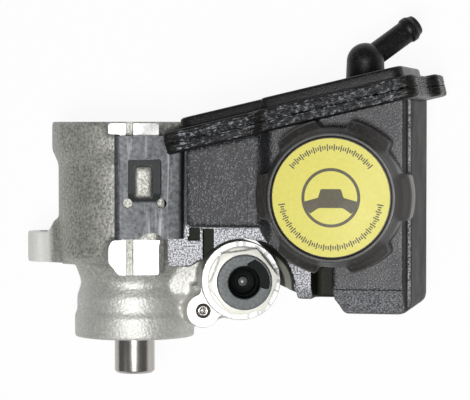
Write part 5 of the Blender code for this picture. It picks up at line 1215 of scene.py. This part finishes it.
def lobes():
    """Draws the outer wall of a turned cap in between each two lobes."""
    tree, given, close = rule("cap_lobes", "cap_plastic", **LOBES, Outer=CAP_R, Inner=0.0262, Top=SHOULDER)
    place = node(tree, "GeometryNodeInputPosition").outputs[0]
    parts = node(tree, "SeparateXYZ", i0=place).outputs
    turn = math_node(tree, "ARCTAN2", parts[1], parts[0])
    near = times(tree, math_node(tree, "COSINE", times(tree, turn, given["Lobes"])), -1.0)
    dip = node(tree, "MapRange", {"interpolation_type": "SMOOTHSTEP"}, Value=near, From_Min=0.05,
        From_Max=0.55).outputs[0]
    radius = node(tree, "VectorMath", {"operation": "LENGTH"},
        i0=vector(tree, parts[0], parts[1])).outputs["Value"]
    outside = ramp(tree, radius, given["Inner"], given["Outer"])
    below = ramp(tree, parts[2], given["Top"], plus(tree, given["Top"], 0.0022), 1.0, 0.35)
    pull = times(tree, dip, outside, times(tree, below, given["Depth"]))
    share = minus(tree, 1.0, math_node(tree, "DIVIDE", pull, most(tree, radius, 0.001)))
    flat = vector(tree, share, share, 1.0)
    moved = node(tree, "VectorMath", {"operation": "MULTIPLY"}, i0=place, i1=flat).outputs[0]
    return close(node(tree, "GeometryNodeSetPosition", Geometry=given["Geometry"], Position=moved).outputs[0])


def painted_side_light(tree, surface, grain):
    """Painted light: the right side of the cap is painted greyer, as if lit from that side."""
    x = place_xyz(tree)[X]
    film = ramp(tree, x, NECK[0] + 0.012, NECK[0] + 0.029)
    return blend(tree, film, surface, (0.062, 0.058, 0.056))


plastic("cap_plastic", (0.023, 0.021, 0.020), (0.060, 0.055, 0.053), 0.42, 900.0, 0.00002, contrast=0.6,
    over=[painted_side_light])
plastic("yellow_label", (0.70, 0.64, 0.12), (0.74, 0.68, 0.15), 0.5, 700.0, 0.000006, 0.6, 0.06)
plastic("print_ink", (0.075, 0.065, 0.030), (0.09, 0.08, 0.04), 0.5, 900.0, 0.000004)
skirt = in_scene(spun(filleted([
    (0, PLATE_TOP), (LABEL_R + 0.0003, PLATE_TOP), (LABEL_R + 0.0010, PLATE_TOP + 0.0010, 0.0002),
    (0.0253, PLATE_TOP + 0.0010, 0.0003), (0.0256, PLATE_TOP, 0.0004), (0.0262, PLATE_TOP - 0.0016, 0.0006),
    (0.0276, 0.0545, 0.0020), (0.0302, SHOULDER - 0.0002, 0.0012), (CAP_R, SHOULDER - 0.0014, 0.0008),
    (CAP_R, CAP_FOOT, 0.0004), (0.0265, CAP_FOOT, 0.0003), (0.0265, 0.0503), (0.0248, 0.0503),
    (0.0248, CAP_FOOT, 0.0003), (0.0226, CAP_FOOT, 0.0003), (0.0226, 0.0523), (0, 0.0523)], 4), steps=240))
applied(skirt, lobes(), **LOBES)
skirt.data.transform(Matrix.Translation(NECK))
finished(skirt, "cap_skirt", "cap", ["cap_plastic"], ["cap_shell"], 30)
finished(spun(filleted([
    (0, PLATE_TOP + 0.0003), (LABEL_R, PLATE_TOP + 0.0003, 0.00005), (LABEL_R, PLATE_TOP + 0.0007, 0.0001),
    (0, PLATE_TOP + 0.0007)]), steps=128, at=NECK), "cap_disc", "cap", ["yellow_label"],
    ["cap_label"])


def ticks():
    """A row of printed bars on an arc: each stands square to it."""
    tree, given, close = rule("print_ticks", "print_ink", Count=24, Radius=0.020, Start=0.0, Sweep=1.0,
        Length=0.0026, Width=0.0005, Level=0.0)
    bar = node(tree, "GeometryNodeMeshCube", Size=vector(tree, given["Length"], given["Width"], 0.00004))
    row = node(tree, "GeometryNodeMeshLine", Count=given["Count"])
    number = node(tree, "GeometryNodeInputIndex").outputs[0]
    step = math_node(tree, "DIVIDE", given["Sweep"], minus(tree, given["Count"], 1.0))
    turn = plus(tree, given["Start"], times(tree, number, step))
    across, along_ = (times(tree, math_node(tree, kind, turn), given["Radius"])
        for kind in ("COSINE", "SINE"))
    spot = vector(tree, across, along_, given["Level"])
    laid_out = node(tree, "GeometryNodeSetPosition", Geometry=row.outputs[0], Position=spot)
    long_ = minus(tree, 1.0,
        times(tree, 0.45, math_node(tree, "GREATER_THAN", math_node(tree, "MODULO", number, 3.0), 0.5)))
    stood = node(tree, "GeometryNodeInstanceOnPoints", Points=laid_out.outputs[0], Instance=bar.outputs[0],
        Rotation=vector(tree, z=turn), Scale=vector(tree, long_, 1.0, 1.0))
    return close(stood.outputs[0])


def printed(name, meshes):
    obj = in_scene(together(meshes))
    obj.data.transform(Matrix.Translation(NECK))
    finished(obj, name, "cap", ["print_ink"])


ink_low, ink_high = PLATE_TOP + 0.00071, PLATE_TOP + 0.00076
tick_rule = ticks()
rows = []
for start, sweep, count in ((38, 104, 40), (188, 164, 61)):
    row = applied(in_scene(bpy.data.meshes.new("row")), tick_rule, Count=count, Radius=0.0196,
        Start=math.radians(start), Sweep=math.radians(sweep), Level=(ink_low + ink_high) / 2)
    rows.append(taken(row))
printed("cap_print_ticks", rows)
wheel = in_scene(spun([(0.0104, ink_low), (0.0116, ink_low), (0.0116, ink_high), (0.0104, ink_high)],
    steps=128))
joined(wheel,
    block(filleted([
        (-0.0108, -0.0040), (-0.0080, -0.0062), (-0.0048, -0.0040, 0.003), (0.0048, -0.0040, 0.003),
        (0.0080, -0.0062), (0.0108, -0.0040), (0.0108, -0.0016), (0.0050, 0.0000, 0.001),
        (0.0040, 0.0034, 0.0008), (-0.0040, 0.0034, 0.0008), (-0.0050, 0.0000, 0.001), (-0.0108, -0.0016)]),
        ink_low, ink_high))
printed("cap_print_wheel", [taken(wheel)])


# Pieces inside. The cam ring, the rotor, the vanes, the plates and the pins are steel like the shaft and
# the springs, and keep the shapes of their CAD nodes. So do the bronze bushing, the black rubber rings and
# seals, the bearing's cage of tan plastic and the dipstick.

metal("bronze", (0.52, 0.36, 0.16), 0.35, 900.0, 0.12, 0.00001, [worn((0.7, 0.5, 0.25), 0.4, 0.1)])
plastic("rubber", (0.02, 0.02, 0.02), (0.045, 0.045, 0.045), 0.65, 900.0, 0.00003)
plastic("cage_plastic", (0.33, 0.22, 0.09), (0.42, 0.30, 0.14), 0.5, 900.0, 0.00003)
plastic("black_plastic", (0.010, 0.010, 0.011), (0.10, 0.10, 0.11), 0.45, 1500.0, 0.00012, gloss=0.3)
